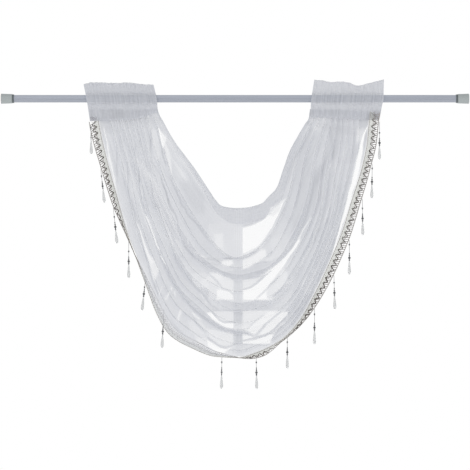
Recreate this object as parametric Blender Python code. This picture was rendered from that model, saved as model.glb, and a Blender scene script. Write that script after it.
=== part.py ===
"""Swag valance with a beaded edge, gathered onto a slim rod.

Metres, +Z up, the cloth's front faces -Y. The origin is the centre of the outer flat face
of the left end cap, on the rod's axis, and +X runs along the rod. Sizes below are in mm.
"""

import math
from collections import namedtuple

import bmesh
import bpy
import numpy as np
from mathutils import Vector
from mathutils.geometry import tessellate_polygon

MM = 0.001

# Rod and end caps
ROD_LENGTH = 1006.0        # outer face to outer face of the caps
ROD_RADIUS = 8.0
ROD_WALL = 1.0
ROD_SIDES = 24
CAP_FACE_RADIUS = 10.8
CAP_NECK_RADIUS = 10.0
CAP_LENGTH = 24.0
COLLAR_RADIUS = 9.2        # the dark lip between cup and rod
COLLAR_LENGTH = 4.0
SOCKET_CLEAR = 0.35
SOCKET_FLOOR = 4.0

# Headings
HEADING_SECTIONS = 29
GATHER_AMPLITUDE = 1.3
FRILL_AMPLITUDE = 2.4
GATHERS = 10.5             # waves across one heading

# Panel
CLOTH = 1.2                # thickness of the panel's sheet
PANEL_SECTIONS = 36
BAND_LINE = 0.035          # where along the U the panel leaves the heading band
FREE_FROM = 0.076          # where it hangs free of the band
BEHIND_BAND = 4.5          # depth of the panel's gathered end behind the heading band
FRONT_AT_LEG = -5.0        # depth of the pleats' front just under the band
FRONT_AT_CENTRE = -34.0    # depth of the pouches' front at the middle
BACK_DRIFT = 9.0           # the lowest pouch hangs this much further back
TURN_AT_LEG = 2.9          # width of a fold's turn
TURN_AT_CENTRE = 5.2
GAP_AT_LEG = 0.5           # extra depth between a fold's bottom and its top
GAP_AT_CENTRE = 3.0
LAP_LIMIT = 0.42           # a fold overlaps at most this share of the room above it
EARLY, LATE = 0.22, 0.78   # how far forward a pouch has come below its top, above its bottom
TURN_ROOM = 7.5            # depth of the cloth's own turn where the braid is turned in
TURN_SHORT = 2.5           # that turn starts this far short of the lower line

# Braid trim and bead drops
BRAID_WIDTH = 21.0
BRAID_THICK = 1.4
BRAID_SECTIONS = 64
BRAID_OVER_CLOTH = 9.0     # the cloth reaches this far under the braid
BRAID_LIFT = 2.3           # middle of the braid to middle of the cloth
BRAID_AHEAD = 2.0          # in front of the pleats at the legs
BRAID_BACK = 6.0           # behind the pouches' front at the middle
BRAID_BACK_TURNED = 7.0    # and more where it is turned in
BEAD_SIDES = 6
BEAD_OUT = 1.45            # a drop's loop hangs this far past the braid's edge
BEAD_BEHIND = 1.1          # and this far behind it where the braid is turned in

# Sections across the swag, from the left heading round the U to the right heading: the upper
# edge, then the line where the cloth meets the braid, then the braid's turn in degrees (0 faces
# the front, 90 is edge on, more is turned in behind the cloth).
Section = namedtuple("Section", "u upper_x upper_z lower_x lower_z turn")
SECTIONS = (
    (0.000, 336, -19, 209, -38, 0),
    (0.035, 340, -33, 211, -53, 0),
    (0.070, 348, -47, 216, -80, 12),
    (0.120, 362, -73, 232, -146, 33),
    (0.170, 379, -100, 250, -211, 42),
    (0.215, 398, -125, 268, -278, 73),
    (0.255, 416, -149, 290, -340, 90),
    (0.295, 434, -176, 313, -404, 115),
    (0.335, 449, -199, 334, -461, 140),
    (0.375, 461, -217, 362, -507, 155),
    (0.415, 474, -230, 408, -535, 150),
    (0.460, 491, -234, 462, -554, 120),
    (0.500, 506, -235, 508, -556, 90),
    (0.545, 526, -234, 558, -541, 50),
    (0.590, 545, -230, 604, -517, 78),
    (0.630, 560, -225, 643, -474, 62),
    (0.670, 576, -209, 673, -420, 36),
    (0.715, 591, -193, 706, -350, 16),
    (0.765, 606, -152, 733, -284, 14),
    (0.815, 620, -113, 754, -216, 16),
    (0.870, 636, -83, 775, -150, 28),
    (0.925, 652, -56, 787, -92, 12),
    (0.965, 661, -42, 790, -57, 0),
    (1.000, 664, -22, 793, -28, 0),
)

# Folds from the upper edge down. Each row gives how far across the swag the fold's lower edge
# lies (0 at the upper edge, 1 at the braid) at nine places from the left heading to the right
# one, the overlap in mm at the legs and at the middle, and the fold's strength at the left leg,
# the middle and the right leg.
PLACES = (0.0, 0.125, 0.25, 0.375, 0.5, 0.62, 0.75, 0.875, 1.0)
Fold = namedtuple("Fold", "name across leg_overlap middle_overlap left middle right")
FOLDS = (
    Fold("upper", (.10, .16, .27, .24, .34, .27, .18, .11, .10), 4.0, 4.0, 1.0, 0.8, 1.0),
    Fold("merging", (.19, .29, .36, .34, .40, .38, .29, .21, .19), 4.0, 2.0, 1.0, 0.4, 0.9),
    Fold("deep", (.28, .40, .49, .43, .48, .51, .47, .33, .28), 4.0, 14.0, 1.1, 1.6, 1.1),
    Fold("faint", (.37, .46, .54, .51, .56, .59, .58, .43, .37), 3.0, 2.0, 0.8, 0.5, 1.0),
    Fold("band", (.46, .52, .60, .58, .69, .72, .69, .54, .46), 4.0, 21.0, 1.0, 1.5, 1.1),
    Fold("small", (.55, .59, .67, .65, .77, .80, .77, .65, .55), 3.0, 2.0, 0.8, 0.5, 0.9),
    Fold("low", (.64, .66, .74, .72, .84, .87, .85, .74, .64), 4.0, 14.0, 1.0, 1.2, 1.0),
    Fold("last", (.73, .73, .82, .80, .91, .92, .90, .83, .73), 3.0, 3.0, 0.9, 0.6, 0.9),
    Fold("edge", (.84, .81, .89, .88, .955, .96, .95, .91, .84), 3.0, 3.0, 0.7, 0.5, 0.7),
)

# Depth in mm of the turn at the upper edge
HEM_TURN = 2.6

# Depth of the upper hem's free edge below the upper edge, in mm, at the nine places
HEM_DEPTH = (5, 9, 12, 18, 34, 34, 20, 9, 5)

# The headings: left and right ends at the frill's top, at the rod and at the band's lower edge,
# then the heights of the frill's top and of the band's lower edge at even steps across
Heading = namedtuple("Heading", "name top_x rod_x low_x frill band")
HEADINGS = (
    Heading("heading_left", (176, 326), (184, 335), (191, 338),
            (31, 35, 35, 34, 34, 35, 33, 31, 30),
            (-48, -48, -47, -46, -45, -44, -41, -34, -30)),
    Heading("heading_right", (673, 823), (667, 822), (664, 813),
            (41, 39, 36, 37, 35, 28, 32, 37, 41),
            (-40, -41, -41, -42, -43, -44, -45, -46, -46)),
)
FRILL_HEIGHT = 38.0
BAND_DEPTH = 46.0

# Levels of a heading's cross-section from the frill's top to the band's lower edge. A frill's or
# band's height is a share of it from the pocket outwards, a pocket's is in mm.
POCKET_TOP = 12.5
POCKET_BOTTOM = -12.5
Level = namedtuple("Level", "kind height half_thick gathers")
HEADING_LEVELS = (
    Level("frill", 1.00, 0.9, 1.0),
    Level("frill", 0.70, 1.5, 0.9),
    Level("frill", 0.35, 1.6, 0.7),
    Level("frill", 0.00, 1.7, 0.4),
    Level("pocket", 8.5, 9.0, 0.2),
    Level("pocket", 1.0, 12.5, 0.3),
    Level("pocket", -7.5, 10.8, 0.25),
    Level("band", 0.00, 2.4, 0.4),
    Level("band", 0.30, 2.0, 0.7),
    Level("band", 0.70, 2.2, 1.0),
    Level("band", 1.00, 1.5, 1.0),
)
# The hole round the rod: depth and height of one half, from its top to its bottom
POCKET_HOLE = ((0, 8.6), (5.5, 7.0), (9.6, 2.0), (9.9, -2.0), (6.5, -8.0), (0, -10.2))

# Bead drops: where each hangs along the U, then in mm the thread above its beads, how far its tip
# leans to the right and how far its first bead has slid down the thread; the first drop hangs on
# the braid's face, the others from its edge
Drop = namedtuple("Drop", "u thread lean slid out ahead", defaults=(0, BEAD_OUT, 0.0))
DROPS = (
    Drop(0.038, 2, 1, 0, -3.0, 1.7), Drop(0.121, 12, 8), Drop(0.184, 17, 8), Drop(0.233, 19, 0),
    Drop(0.281, 16, -8, 7), Drop(0.3355, 22, -4, 7), Drop(0.4705, 18, -1), Drop(0.532, 6, 1),
    Drop(0.598, 7, 0), Drop(0.6525, 16, 0, -7), Drop(0.7005, 12, 2), Drop(0.755, 13, 0, -7),
    Drop(0.820, 17, 1), Drop(0.883, 14, -1, -7), Drop(0.976, 21, 0),
)
# The first bead, then the beads below it, on the thread: distance down and radius, in mm
FIRST_BEAD = ((0.0, 0.8), (1.2, 2.1), (4.2, 2.1), (5.6, 0.8))
BEADS = (
    (12.8, 0.8), (14.5, 1.5), (20.5, 1.9), (22.6, 3.2), (25.9, 3.2), (27.5, 1.8), (31.5, 1.5),
    (34.0, 2.4), (53.0, 3.5), (58.6, 2.3), (59.6, 0.9),
)
LOOP_RADIUS = 1.1
LOOP_LENGTH = 1.4


def slopes(x, y):
    """Slopes of a smooth curve through the points that never overshoots them."""
    h = np.diff(x)
    d = np.diff(y) / h
    m = np.zeros(len(x))
    for i in range(1, len(x) - 1):
        if d[i - 1] * d[i] > 0:
            a = 2 * h[i] + h[i - 1]
            b = h[i] + 2 * h[i - 1]
            m[i] = (a + b) / (a / d[i - 1] + b / d[i])
    m[0] = d[0]
    m[-1] = d[-1]
    return m


def curve(x, y, at):
    """The smooth curve through x, y, read at the places given."""
    x = np.asarray(x, float)
    y = np.asarray(y, float)
    at = np.clip(np.asarray(at, float), x[0], x[-1])
    m = slopes(x, y)
    i = np.clip(np.searchsorted(x, at) - 1, 0, len(x) - 2)
    h = x[i + 1] - x[i]
    t = (at - x[i]) / h
    return (
        y[i] * (1 + 2 * t) * (1 - t) ** 2
        + m[i] * h * t * (1 - t) ** 2
        + y[i + 1] * t * t * (3 - 2 * t)
        + m[i + 1] * h * t * t * (t - 1)
    )


def ease(a, b, x):
    """0 at a, 1 at b, smooth between."""
    t = np.clip((np.asarray(x, float) - a) / (b - a), 0, 1)
    return t * t * (3 - 2 * t)


ROWS = Section(*np.array(SECTIONS, float).T)


def edges(u):
    """Upper edge, lower line, both as (x, z), and the braid's turn in radians."""
    upper = np.array([curve(ROWS.u, ROWS.upper_x, u), curve(ROWS.u, ROWS.upper_z, u)])
    lower = np.array([curve(ROWS.u, ROWS.lower_x, u), curve(ROWS.u, ROWS.lower_z, u)])
    return upper, lower, np.radians(curve(ROWS.u, ROWS.turn, u))


def middle(u):
    """0 at the headings, 1 round the middle of the swag."""
    return ease(0.05, 0.42, u) * ease(0.95, 0.58, u)


def end_share(u):
    """1 where the panel lies behind the heading bands, 0 where it hangs free."""
    near, far = 0.040, 0.078
    return ease(far, near, u) + ease(1 - far, 1 - near, u)


def free_depth(u, across):
    """Depth of the folds' front faces where the panel hangs free."""
    y = FRONT_AT_LEG + (FRONT_AT_CENTRE - FRONT_AT_LEG) * middle(u)
    return y + BACK_DRIFT * across * middle(u)


def front_depth(u, across):
    """Depth of the folds' front faces, behind the band at both ends."""
    share = end_share(u)
    return free_depth(u, across) * (1 - share) + BEHIND_BAND * share


def turned_in(turn):
    """0 where the braid faces the front, 1 where it is turned in behind the cloth."""
    return float(ease(0.6, 2.0, turn))


def braid_frame(u):
    """The braid's inner line, its direction across and its face's normal, at u."""
    step = 0.004
    _, low, turn = edges(u)
    _, before, _ = edges(max(u - step, 0.0))
    _, after, _ = edges(min(u + step, 1.0))
    run = after - before
    run = run / np.hypot(run[0], run[1])
    outward = np.array([run[1], 0.0, -run[0]])
    back = np.array([0.0, 1.0, 0.0])
    across = outward * math.cos(turn) + back * math.sin(turn)
    normal = -back * math.cos(turn) + outward * math.sin(turn)
    back_by = BRAID_BACK * middle(u) + BRAID_BACK_TURNED * turned_in(turn) - BRAID_AHEAD
    return np.array([low[0], float(free_depth(u, 1.0) + back_by), low[1]]), across, normal


def even_steps(count, first=0.0, last=1.0):
    """Places from the first to the last, closer together where the braid turns."""
    fine = np.linspace(first, last, 600)
    low = np.array([edges(u)[1] for u in fine])
    turn = np.array([edges(u)[2] for u in fine])
    gone = np.hypot(*np.diff(low, axis=0).T) + 60.0 * np.abs(np.diff(turn))
    gone = np.concatenate(([0.0], np.cumsum(gone)))
    return np.interp(np.linspace(0, gone[-1], count), gone, fine)


def fold_points(u, length):
    """The panel's section as (distance across, depth), from the hem's free edge to the last fold."""
    m = float(middle(u))
    turn = TURN_AT_LEG + (TURN_AT_CENTRE - TURN_AT_LEG) * m
    gap = GAP_AT_LEG + (GAP_AT_CENTRE - GAP_AT_LEG) * m
    hem = float(curve(PLACES, HEM_DEPTH, u))
    y = float(front_depth(u, 0.0))
    half = HEM_TURN / 2
    out = [
        (hem, y + HEM_TURN + 0.8), (hem / 2, y + HEM_TURN + 0.4), (half, y + HEM_TURN),
        (0.0, y + half), (half, y),
    ]
    place = half
    lap = HEM_TURN
    for fold in FOLDS:
        side = fold.left if u < 0.5 else fold.right
        amount = side + (fold.middle - side) * m
        w = float(curve(PLACES, fold.across, u)) * length
        front = float(front_depth(u, w / length))
        start = out[-1][1]
        room = w - place
        before = min(lap, 0.45 * room)
        lap = min(fold.leg_overlap + (fold.middle_overlap - fold.leg_overlap) * m, LAP_LIMIT * room)
        t = turn * (0.6 + 0.4 * amount)
        g = gap * amount
        out.append((place + before, start + (front - start) * EARLY))
        out.append((w - lap, start + (front - start) * LATE))
        out.append((w, front))
        out.append((w, front + t))
        out.append((w - lap, front + t + g))
        out.append((w - lap, front + 2 * t + g))
        place = w - lap
    return out


def panel_section(u):
    """Points of the panel's middle surface from the hem's free edge to the cloth's lower end."""
    upper, lower, turn = edges(u)
    span = lower - upper
    length = float(np.hypot(span[0], span[1]))
    points = []
    for w, y in fold_points(u, length):
        x, z = upper + span * (w / length)
        points.append((x, y, z))
    hinge, across, normal = braid_frame(u)
    under = hinge - normal * BRAID_LIFT
    under[1] += (BEHIND_BAND - FRONT_AT_LEG) * float(end_share(u))
    straight = (np.array(points[-1]) + under) / 2
    x, z = upper + span * (1 - TURN_SHORT / length)
    round_turn = np.array([x, hinge[1] - TURN_ROOM, z])
    share = turned_in(turn)
    points.append(tuple(straight * (1 - share) + round_turn * share))
    points.append(tuple(under))
    points.append(tuple(under + across * BRAID_OVER_CLOTH * 0.5))
    points.append(tuple(under + across * BRAID_OVER_CLOTH))
    return points


def material(name, colour, rough, metal=0.0):
    mat = bpy.data.materials.new(name)
    mat.use_nodes = True
    node = mat.node_tree.nodes["Principled BSDF"]
    node.inputs["Base Color"].default_value = (*colour, 1.0)
    node.inputs["Roughness"].default_value = rough
    node.inputs["Metallic"].default_value = metal
    return mat


def add(name, points, faces, mat, flat=()):
    """One closed object from points in mm, its normals made to face out."""
    mesh = bpy.data.meshes.new(name)
    mesh.from_pydata([Vector(p) * MM for p in points], [], faces)
    for i, face in enumerate(mesh.polygons):
        face.use_smooth = i not in flat
    mesh.materials.append(mat)
    work = bmesh.new()
    work.from_mesh(mesh)
    bmesh.ops.recalc_face_normals(work, faces=work.faces[:])
    if work.calc_volume(signed=True) < 0:
        bmesh.ops.reverse_faces(work, faces=work.faces[:])
    work.to_mesh(mesh)
    work.free()
    mesh.update()
    obj = bpy.data.objects.new(name, mesh)
    bpy.context.scene.collection.objects.link(obj)
    return obj


def panel_places():
    """Where the panel's sections stand: two behind each heading band, the others even."""
    free = even_steps(PANEL_SECTIONS - 4, FREE_FROM, 1 - FREE_FROM)
    return [0.0, BAND_LINE, *map(float, free), 1 - BAND_LINE, 1.0]


def unit(v):
    return v / np.maximum(np.linalg.norm(v, axis=-1, keepdims=True), 1e-9)


def tangents(grid, axis):
    """Directions along one axis of a grid, halfway between the steps on either side."""
    step = unit(np.diff(grid, axis=axis))
    first = np.take(step, [0], axis=axis)
    last = np.take(step, [-1], axis=axis)
    before = np.concatenate((first, step), axis=axis)
    after = np.concatenate((step, last), axis=axis)
    along = unit(before + after)
    reach = 1 / np.clip(np.sum(along * after, axis=-1, keepdims=True), 0.72, 1)
    return along, reach


def grid_normals(grid):
    """Normals of a grid of points, longer at sharp turns so that the sheet keeps its thickness."""
    du, _ = tangents(grid, 0)
    dv, reach = tangents(grid, 1)
    return unit(np.cross(du, dv)) * reach


def sheet_solid(name, grid, thick, mat):
    """A sheet of even thickness around a grid of points."""
    grid = np.array(grid, float)
    nu, nv, _ = grid.shape
    normal = grid_normals(grid)
    sides = (grid + normal * thick / 2, grid - normal * thick / 2)
    points = [tuple(p) for side in sides for row in side for p in row]
    count = nu * nv

    def at(side, i, j):
        return side * count + i * nv + j

    faces = []
    for i in range(nu - 1):
        for j in range(nv - 1):
            quad = (at(0, i, j), at(0, i + 1, j), at(0, i + 1, j + 1), at(0, i, j + 1))
            faces.append(quad)
            faces.append(tuple(k + count for k in reversed(quad)))
    rim = [(i, 0) for i in range(nu)] + [(nu - 1, j) for j in range(1, nv)]
    rim += [(i, nv - 1) for i in range(nu - 2, -1, -1)] + [(0, j) for j in range(nv - 2, 0, -1)]
    for a, b in zip(rim, rim[1:] + rim[:1]):
        faces.append((at(0, *b), at(0, *a), at(1, *a), at(1, *b)))
    return add(name, points, faces, mat)


def turned(name, profile, place, axis, sides, mat, flat_rings=()):
    """A body turned about an axis from an outline of (distance along, radius)."""
    place = np.array(place, float)
    axis = unit(np.array(axis, float))
    side = unit(np.cross(axis, (0.0, 1.0, 0.0)))
    other = np.cross(axis, side)
    points = []
    faces = []
    rings = []
    for along, radius in profile:
        ring = []
        for k in range(sides):
            a = 2 * math.pi * k / sides
            ring.append(len(points))
            points.append(place + axis * along + (side * math.cos(a) + other * math.sin(a)) * radius)
        rings.append(ring)
    flat = set()
    for i in range(len(rings) - 1):
        a, b = rings[i], rings[i + 1]
        for k in range(sides):
            n = (k + 1) % sides
            if i in flat_rings:
                flat.add(len(faces))
            faces.append((a[k], a[n], b[n], b[k]))
    for ring in (rings[0], rings[-1]):
        flat.add(len(faces))
        faces.append(tuple(ring))
    return add(name, points, faces, mat, flat)


def rod(mat):
    """The hollow rod, its ends inside the caps' sockets."""
    x0 = SOCKET_FLOOR + SOCKET_CLEAR
    x1 = ROD_LENGTH - SOCKET_FLOOR - SOCKET_CLEAR
    inner = ROD_RADIUS - ROD_WALL
    points = []
    for x, r in ((x0, ROD_RADIUS), (x1, ROD_RADIUS), (x1, inner), (x0, inner)):
        for k in range(ROD_SIDES):
            a = 2 * math.pi * k / ROD_SIDES
            points.append((x, r * math.cos(a), r * math.sin(a)))
    faces = []
    flat = set()
    for i in range(4):
        for k in range(ROD_SIDES):
            n = (k + 1) % ROD_SIDES
            j = (i + 1) % 4
            if i in (1, 3):
                flat.add(len(faces))
            a = i * ROD_SIDES
            b = j * ROD_SIDES
            faces.append((a + k, a + n, b + n, b + k))
    return add("rod", points, faces, mat, flat)


def cap(name, place, side, mat):
    """An end cup with a dark lip, bored for the rod."""
    bore = ROD_RADIUS + SOCKET_CLEAR
    full = CAP_LENGTH + COLLAR_LENGTH
    profile = (
        (0.0, CAP_FACE_RADIUS - 0.6), (0.6, CAP_FACE_RADIUS), (CAP_LENGTH, CAP_NECK_RADIUS),
        (CAP_LENGTH + 0.4, COLLAR_RADIUS), (full, COLLAR_RADIUS), (full, bore),
        (SOCKET_FLOOR, bore),
    )
    return turned(name, profile, place, (side, 0, 0), ROD_SIDES, mat, (4,))


def heading_span(row, z):
    """Left and right ends of a heading at a height."""
    far = row.top_x if z > 0 else row.low_x
    share = z / FRILL_HEIGHT if z > 0 else -z / BAND_DEPTH
    return [near + (end - near) * share for near, end in zip(row.rod_x, far)]


def heading_section(row, step, top, low, ripple):
    """One cross-section of a heading: its outer loop and the hole round the rod."""
    front, back = [], []
    for level in HEADING_LEVELS:
        z = level.height
        amplitude = GATHER_AMPLITUDE
        if level.kind == "frill":
            z = POCKET_TOP + (top - POCKET_TOP) * level.height
            amplitude += (FRILL_AMPLITUDE - GATHER_AMPLITUDE) * level.height
        if level.kind == "band":
            z = POCKET_BOTTOM + (low - POCKET_BOTTOM) * level.height
        left, right = heading_span(row, z)
        x = left + (right - left) * step
        wave = ripple * amplitude * level.gathers
        front.append((x, -level.half_thick - wave, z))
        back.append((x, level.half_thick - wave, z))
    left, right = row.rod_x
    x = left + (right - left) * step
    hole = [(x, y, z) for y, z in POCKET_HOLE]
    hole += [(x, -y, z) for y, z in POCKET_HOLE[-2:0:-1]]
    return front + back[::-1], hole


def heading(row, mat):
    """A gathered sleeve round the rod, with its frill above and its band below."""
    n = HEADING_SECTIONS
    steps = np.linspace(0, 1, n)
    places = np.linspace(0, 1, len(row.frill))
    top = curve(places, row.frill, steps)
    low = curve(places, row.band, steps)
    waves = 2 * math.pi * GATHERS * steps
    ripple = np.sin(waves + 1.1 * np.sin(5.3 * steps)) * (0.8 + 0.2 * np.cos(9 * steps))
    rows = [heading_section(row, steps[i], top[i], low[i], ripple[i]) for i in range(n)]
    around = len(rows[0][0])
    inside = len(rows[0][1])
    points = [p for outer, hole in rows for p in outer + hole]
    faces = []
    for i in range(n - 1):
        for start, count in ((0, around), (around, inside)):
            for k in range(count):
                p = i * (around + inside) + start
                q = p + around + inside
                m = (k + 1) % count
                faces.append((p + k, p + m, q + m, q + k))
    flat = set()
    for i in (0, n - 1):
        loops = [[Vector((0, y, z)) for _, y, z in loop] for loop in rows[i]]
        for triangle in tessellate_polygon(loops):
            flat.add(len(faces))
            faces.append(tuple(i * (around + inside) + k for k in triangle))
    return add(row.name, points, faces, mat, flat)


def braid(mat):
    """The flat trim that follows the swag's lower edge."""
    us = even_steps(BRAID_SECTIONS, 0.024, 1.0)
    half = BRAID_THICK / 2
    wide = BRAID_WIDTH
    shape = (
        (0.0, -half), (wide / 2, -half), (wide, -half),
        (wide, half), (wide / 2, half), (0.0, half),
    )
    points = []
    for u in us:
        hinge, across, normal = braid_frame(float(u))
        for q, lift in shape:
            p = hinge + across * q - normal * lift
            points.append(tuple(p))
    faces = []
    flat = set()
    k = len(shape)
    for i in range(len(us) - 1):
        for j in range(k):
            n = (j + 1) % k
            faces.append((i * k + j, i * k + n, (i + 1) * k + n, (i + 1) * k + j))
    last = (len(us) - 1) * k
    flat.update((len(faces), len(faces) + 1))
    faces.append(tuple(range(k))[::-1])
    faces.append(tuple(last + j for j in range(k)))
    return add("braid_trim", points, faces, mat, flat)


def drop(number, row, mat):
    """One string of beads on its thread, under the braid's outer edge."""
    hinge, across, _ = braid_frame(row.u)
    _, _, turn = edges(row.u)
    behind = BEAD_BEHIND * float(ease(1.7, 2.3, turn))
    edge = hinge + across * (BRAID_WIDTH + row.out)
    place = (edge[0], edge[1] + behind - row.ahead, edge[2])
    profile = [(0.0, LOOP_RADIUS), (LOOP_LENGTH, LOOP_RADIUS)]
    profile += [(row.thread + row.slid + down, radius) for down, radius in FIRST_BEAD]
    profile += [(row.thread + down, radius) for down, radius in BEADS]
    axis = (row.lean, 0, -profile[-1][0])
    return turned(f"bead_drop_{number:02d}", profile, place, axis, BEAD_SIDES, mat)


def main():
    for obj in list(bpy.data.objects):
        bpy.data.objects.remove(obj, do_unlink=True)
    steel = material("rod_paint", (0.45, 0.48, 0.53), 0.35, 0.2)
    plastic = material("cap_plastic", (0.55, 0.60, 0.58), 0.5)
    cloth = material("voile", (0.86, 0.87, 0.91), 0.8)
    trim = material("braid", (0.70, 0.66, 0.58), 0.7)
    glass = material("beads", (0.62, 0.65, 0.68), 0.2)
    rod(steel)
    cap("end_cap_left", (0, 0, 0), 1, plastic)
    cap("end_cap_right", (ROD_LENGTH, 0, 0), -1, plastic.copy())
    for row in HEADINGS:
        heading(row, cloth.copy())
    sheet_solid("swag_panel", [panel_section(u) for u in panel_places()], CLOTH, cloth)
    braid(trim)
    for number, row in enumerate(DROPS, 1):
        drop(number, row, glass.copy())


main()
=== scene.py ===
"""Looks for the beaded swag valance on its rod: sheer cloth, trim, bead drops and studio.

The cloth repeats the folds of the CAD source, in millimetres, on a finer net of points.
"""

import math
from collections import namedtuple

import bpy
import numpy as np
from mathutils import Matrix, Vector


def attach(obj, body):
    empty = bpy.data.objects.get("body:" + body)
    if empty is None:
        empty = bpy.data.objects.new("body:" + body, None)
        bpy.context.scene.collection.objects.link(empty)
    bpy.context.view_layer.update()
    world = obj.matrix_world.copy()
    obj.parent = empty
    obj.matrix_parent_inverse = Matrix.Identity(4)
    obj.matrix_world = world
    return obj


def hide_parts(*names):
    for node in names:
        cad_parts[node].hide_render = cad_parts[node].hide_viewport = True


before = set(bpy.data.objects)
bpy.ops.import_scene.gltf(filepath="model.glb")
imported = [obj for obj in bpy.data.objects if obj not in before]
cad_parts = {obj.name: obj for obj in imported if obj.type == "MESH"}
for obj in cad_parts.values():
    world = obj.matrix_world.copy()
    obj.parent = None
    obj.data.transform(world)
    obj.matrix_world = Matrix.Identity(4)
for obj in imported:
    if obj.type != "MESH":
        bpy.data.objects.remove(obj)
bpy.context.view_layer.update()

MM = 0.001

# ---- Sizes and folds of the CAD source, in mm ----
ROD_LENGTH = 1006.0
BEHIND_BAND = 4.5
FRONT_AT_LEG = -5.0
FRONT_AT_CENTRE = -34.0
BACK_DRIFT = 9.0
TURN_AT_LEG = 2.9
TURN_AT_CENTRE = 5.2
GAP_AT_LEG = 0.5
GAP_AT_CENTRE = 3.0
LAP_LIMIT = 0.42
EARLY, LATE = 0.22, 0.78
TURN_ROOM = 7.5
TURN_SHORT = 2.5
BRAID_WIDTH = 21.0
BRAID_OVER_CLOTH = 9.0
BRAID_LIFT = 2.3
BRAID_AHEAD = 2.0
BRAID_BACK = 6.0
BRAID_BACK_TURNED = 7.0
BRAID_FROM = 0.024
BEAD_OUT = 1.45
BEAD_BEHIND = 1.1
HEM_TURN = 2.6
GATHER_AMPLITUDE = 1.3
FRILL_AMPLITUDE = 2.4
GATHERS = 10.5
POCKET_TOP = 12.5
POCKET_BOTTOM = -12.5
FRILL_HEIGHT = 38.0
BAND_DEPTH = 46.0

Section = namedtuple("Section", "u upper_x upper_z lower_x lower_z turn")
SECTIONS = (
    (0.000, 336, -19, 209, -38, 0),
    (0.035, 340, -33, 211, -53, 0),
    (0.070, 348, -47, 216, -80, 12),
    (0.120, 362, -73, 232, -146, 33),
    (0.170, 379, -100, 250, -211, 42),
    (0.215, 398, -125, 268, -278, 73),
    (0.255, 416, -149, 290, -340, 90),
    (0.295, 434, -176, 313, -404, 115),
    (0.335, 449, -199, 334, -461, 140),
    (0.375, 461, -217, 362, -507, 155),
    (0.415, 474, -230, 408, -535, 150),
    (0.460, 491, -234, 462, -554, 120),
    (0.500, 506, -235, 508, -556, 90),
    (0.545, 526, -234, 558, -541, 50),
    (0.590, 545, -230, 604, -517, 78),
    (0.630, 560, -225, 643, -474, 62),
    (0.670, 576, -209, 673, -420, 36),
    (0.715, 591, -193, 706, -350, 16),
    (0.765, 606, -152, 733, -284, 14),
    (0.815, 620, -113, 754, -216, 16),
    (0.870, 636, -83, 775, -150, 28),
    (0.925, 652, -56, 787, -92, 12),
    (0.965, 661, -42, 790, -57, 0),
    (1.000, 664, -22, 793, -28, 0),
)
PLACES = (0.0, 0.125, 0.25, 0.375, 0.5, 0.62, 0.75, 0.875, 1.0)
Fold = namedtuple("Fold", "name across leg_overlap middle_overlap left middle right")
FOLDS = (
    Fold("upper", (.10, .16, .27, .24, .34, .27, .18, .11, .10), 4.0, 4.0, 1.0, 0.8, 1.0),
    Fold("merging", (.19, .29, .36, .34, .40, .38, .29, .21, .19), 4.0, 2.0, 1.0, 0.4, 0.9),
    Fold("deep", (.28, .40, .49, .43, .48, .51, .47, .33, .28), 4.0, 14.0, 1.1, 1.6, 1.1),
    Fold("faint", (.37, .46, .54, .51, .56, .59, .58, .43, .37), 3.0, 2.0, 0.8, 0.5, 1.0),
    Fold("band", (.46, .52, .60, .58, .69, .72, .69, .54, .46), 4.0, 21.0, 1.0, 1.5, 1.1),
    Fold("small", (.55, .59, .67, .65, .77, .80, .77, .65, .55), 3.0, 2.0, 0.8, 0.5, 0.9),
    Fold("low", (.64, .66, .74, .72, .84, .87, .85, .74, .64), 4.0, 14.0, 1.0, 1.2, 1.0),
    Fold("last", (.73, .73, .82, .80, .91, .92, .90, .83, .73), 3.0, 3.0, 0.9, 0.6, 0.9),
    Fold("edge", (.84, .81, .89, .88, .955, .96, .95, .91, .84), 3.0, 3.0, 0.7, 0.5, 0.7),
)
HEM_DEPTH = (5, 9, 12, 18, 34, 34, 20, 9, 5)

Heading = namedtuple("Heading", "name top_x rod_x low_x frill band dark")
HEADINGS = (
    Heading("heading_left", (176, 326), (184, 335), (191, 338),
            (31, 35, 35, 34, 34, 35, 33, 31, 30),
            (-48, -48, -47, -46, -45, -44, -41, -34, -30), 0.42),
    Heading("heading_right", (673, 823), (667, 822), (664, 813),
            (41, 39, 36, 37, 35, 28, 32, 37, 41),
            (-40, -41, -41, -42, -43, -44, -45, -46, -46), 0.22),
)
# A heading's section: height, half its depth and how far its gathers swing
SLEEVE = (
    (1.00, 0.9, 1.0), (0.70, 1.5, 0.9), (0.35, 1.6, 0.7), (0.00, 1.7, 0.4),
    (8.5, 9.0, 0.2), (1.0, 12.5, 0.3), (-7.5, 10.8, 0.25),
    (0.00, 2.4, 0.4), (0.30, 2.0, 0.7), (0.70, 2.2, 1.0), (1.00, 1.5, 1.0),
)

Drop = namedtuple("Drop", "u thread lean slid out ahead bead", defaults=(0, BEAD_OUT, 0.0, 1.0))
DROPS = (
    Drop(0.038, 2, 1, 0, -3.0, 1.7, 0.45), Drop(0.121, 12, 8, bead=0.8), Drop(0.184, 17, 8),
    Drop(0.233, 19, 0), Drop(0.281, 16, -8, 7), Drop(0.3355, 22, -4, 7),
    Drop(0.4705, 18, -1, bead=0.75), Drop(0.532, 6, 1), Drop(0.598, 7, 0), Drop(0.6525, 16, 0, -7),
    Drop(0.7005, 12, 2), Drop(0.755, 13, 0, -7), Drop(0.820, 17, 1), Drop(0.883, 14, -1, -7),
    Drop(0.976, 21, 0),
)


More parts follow.
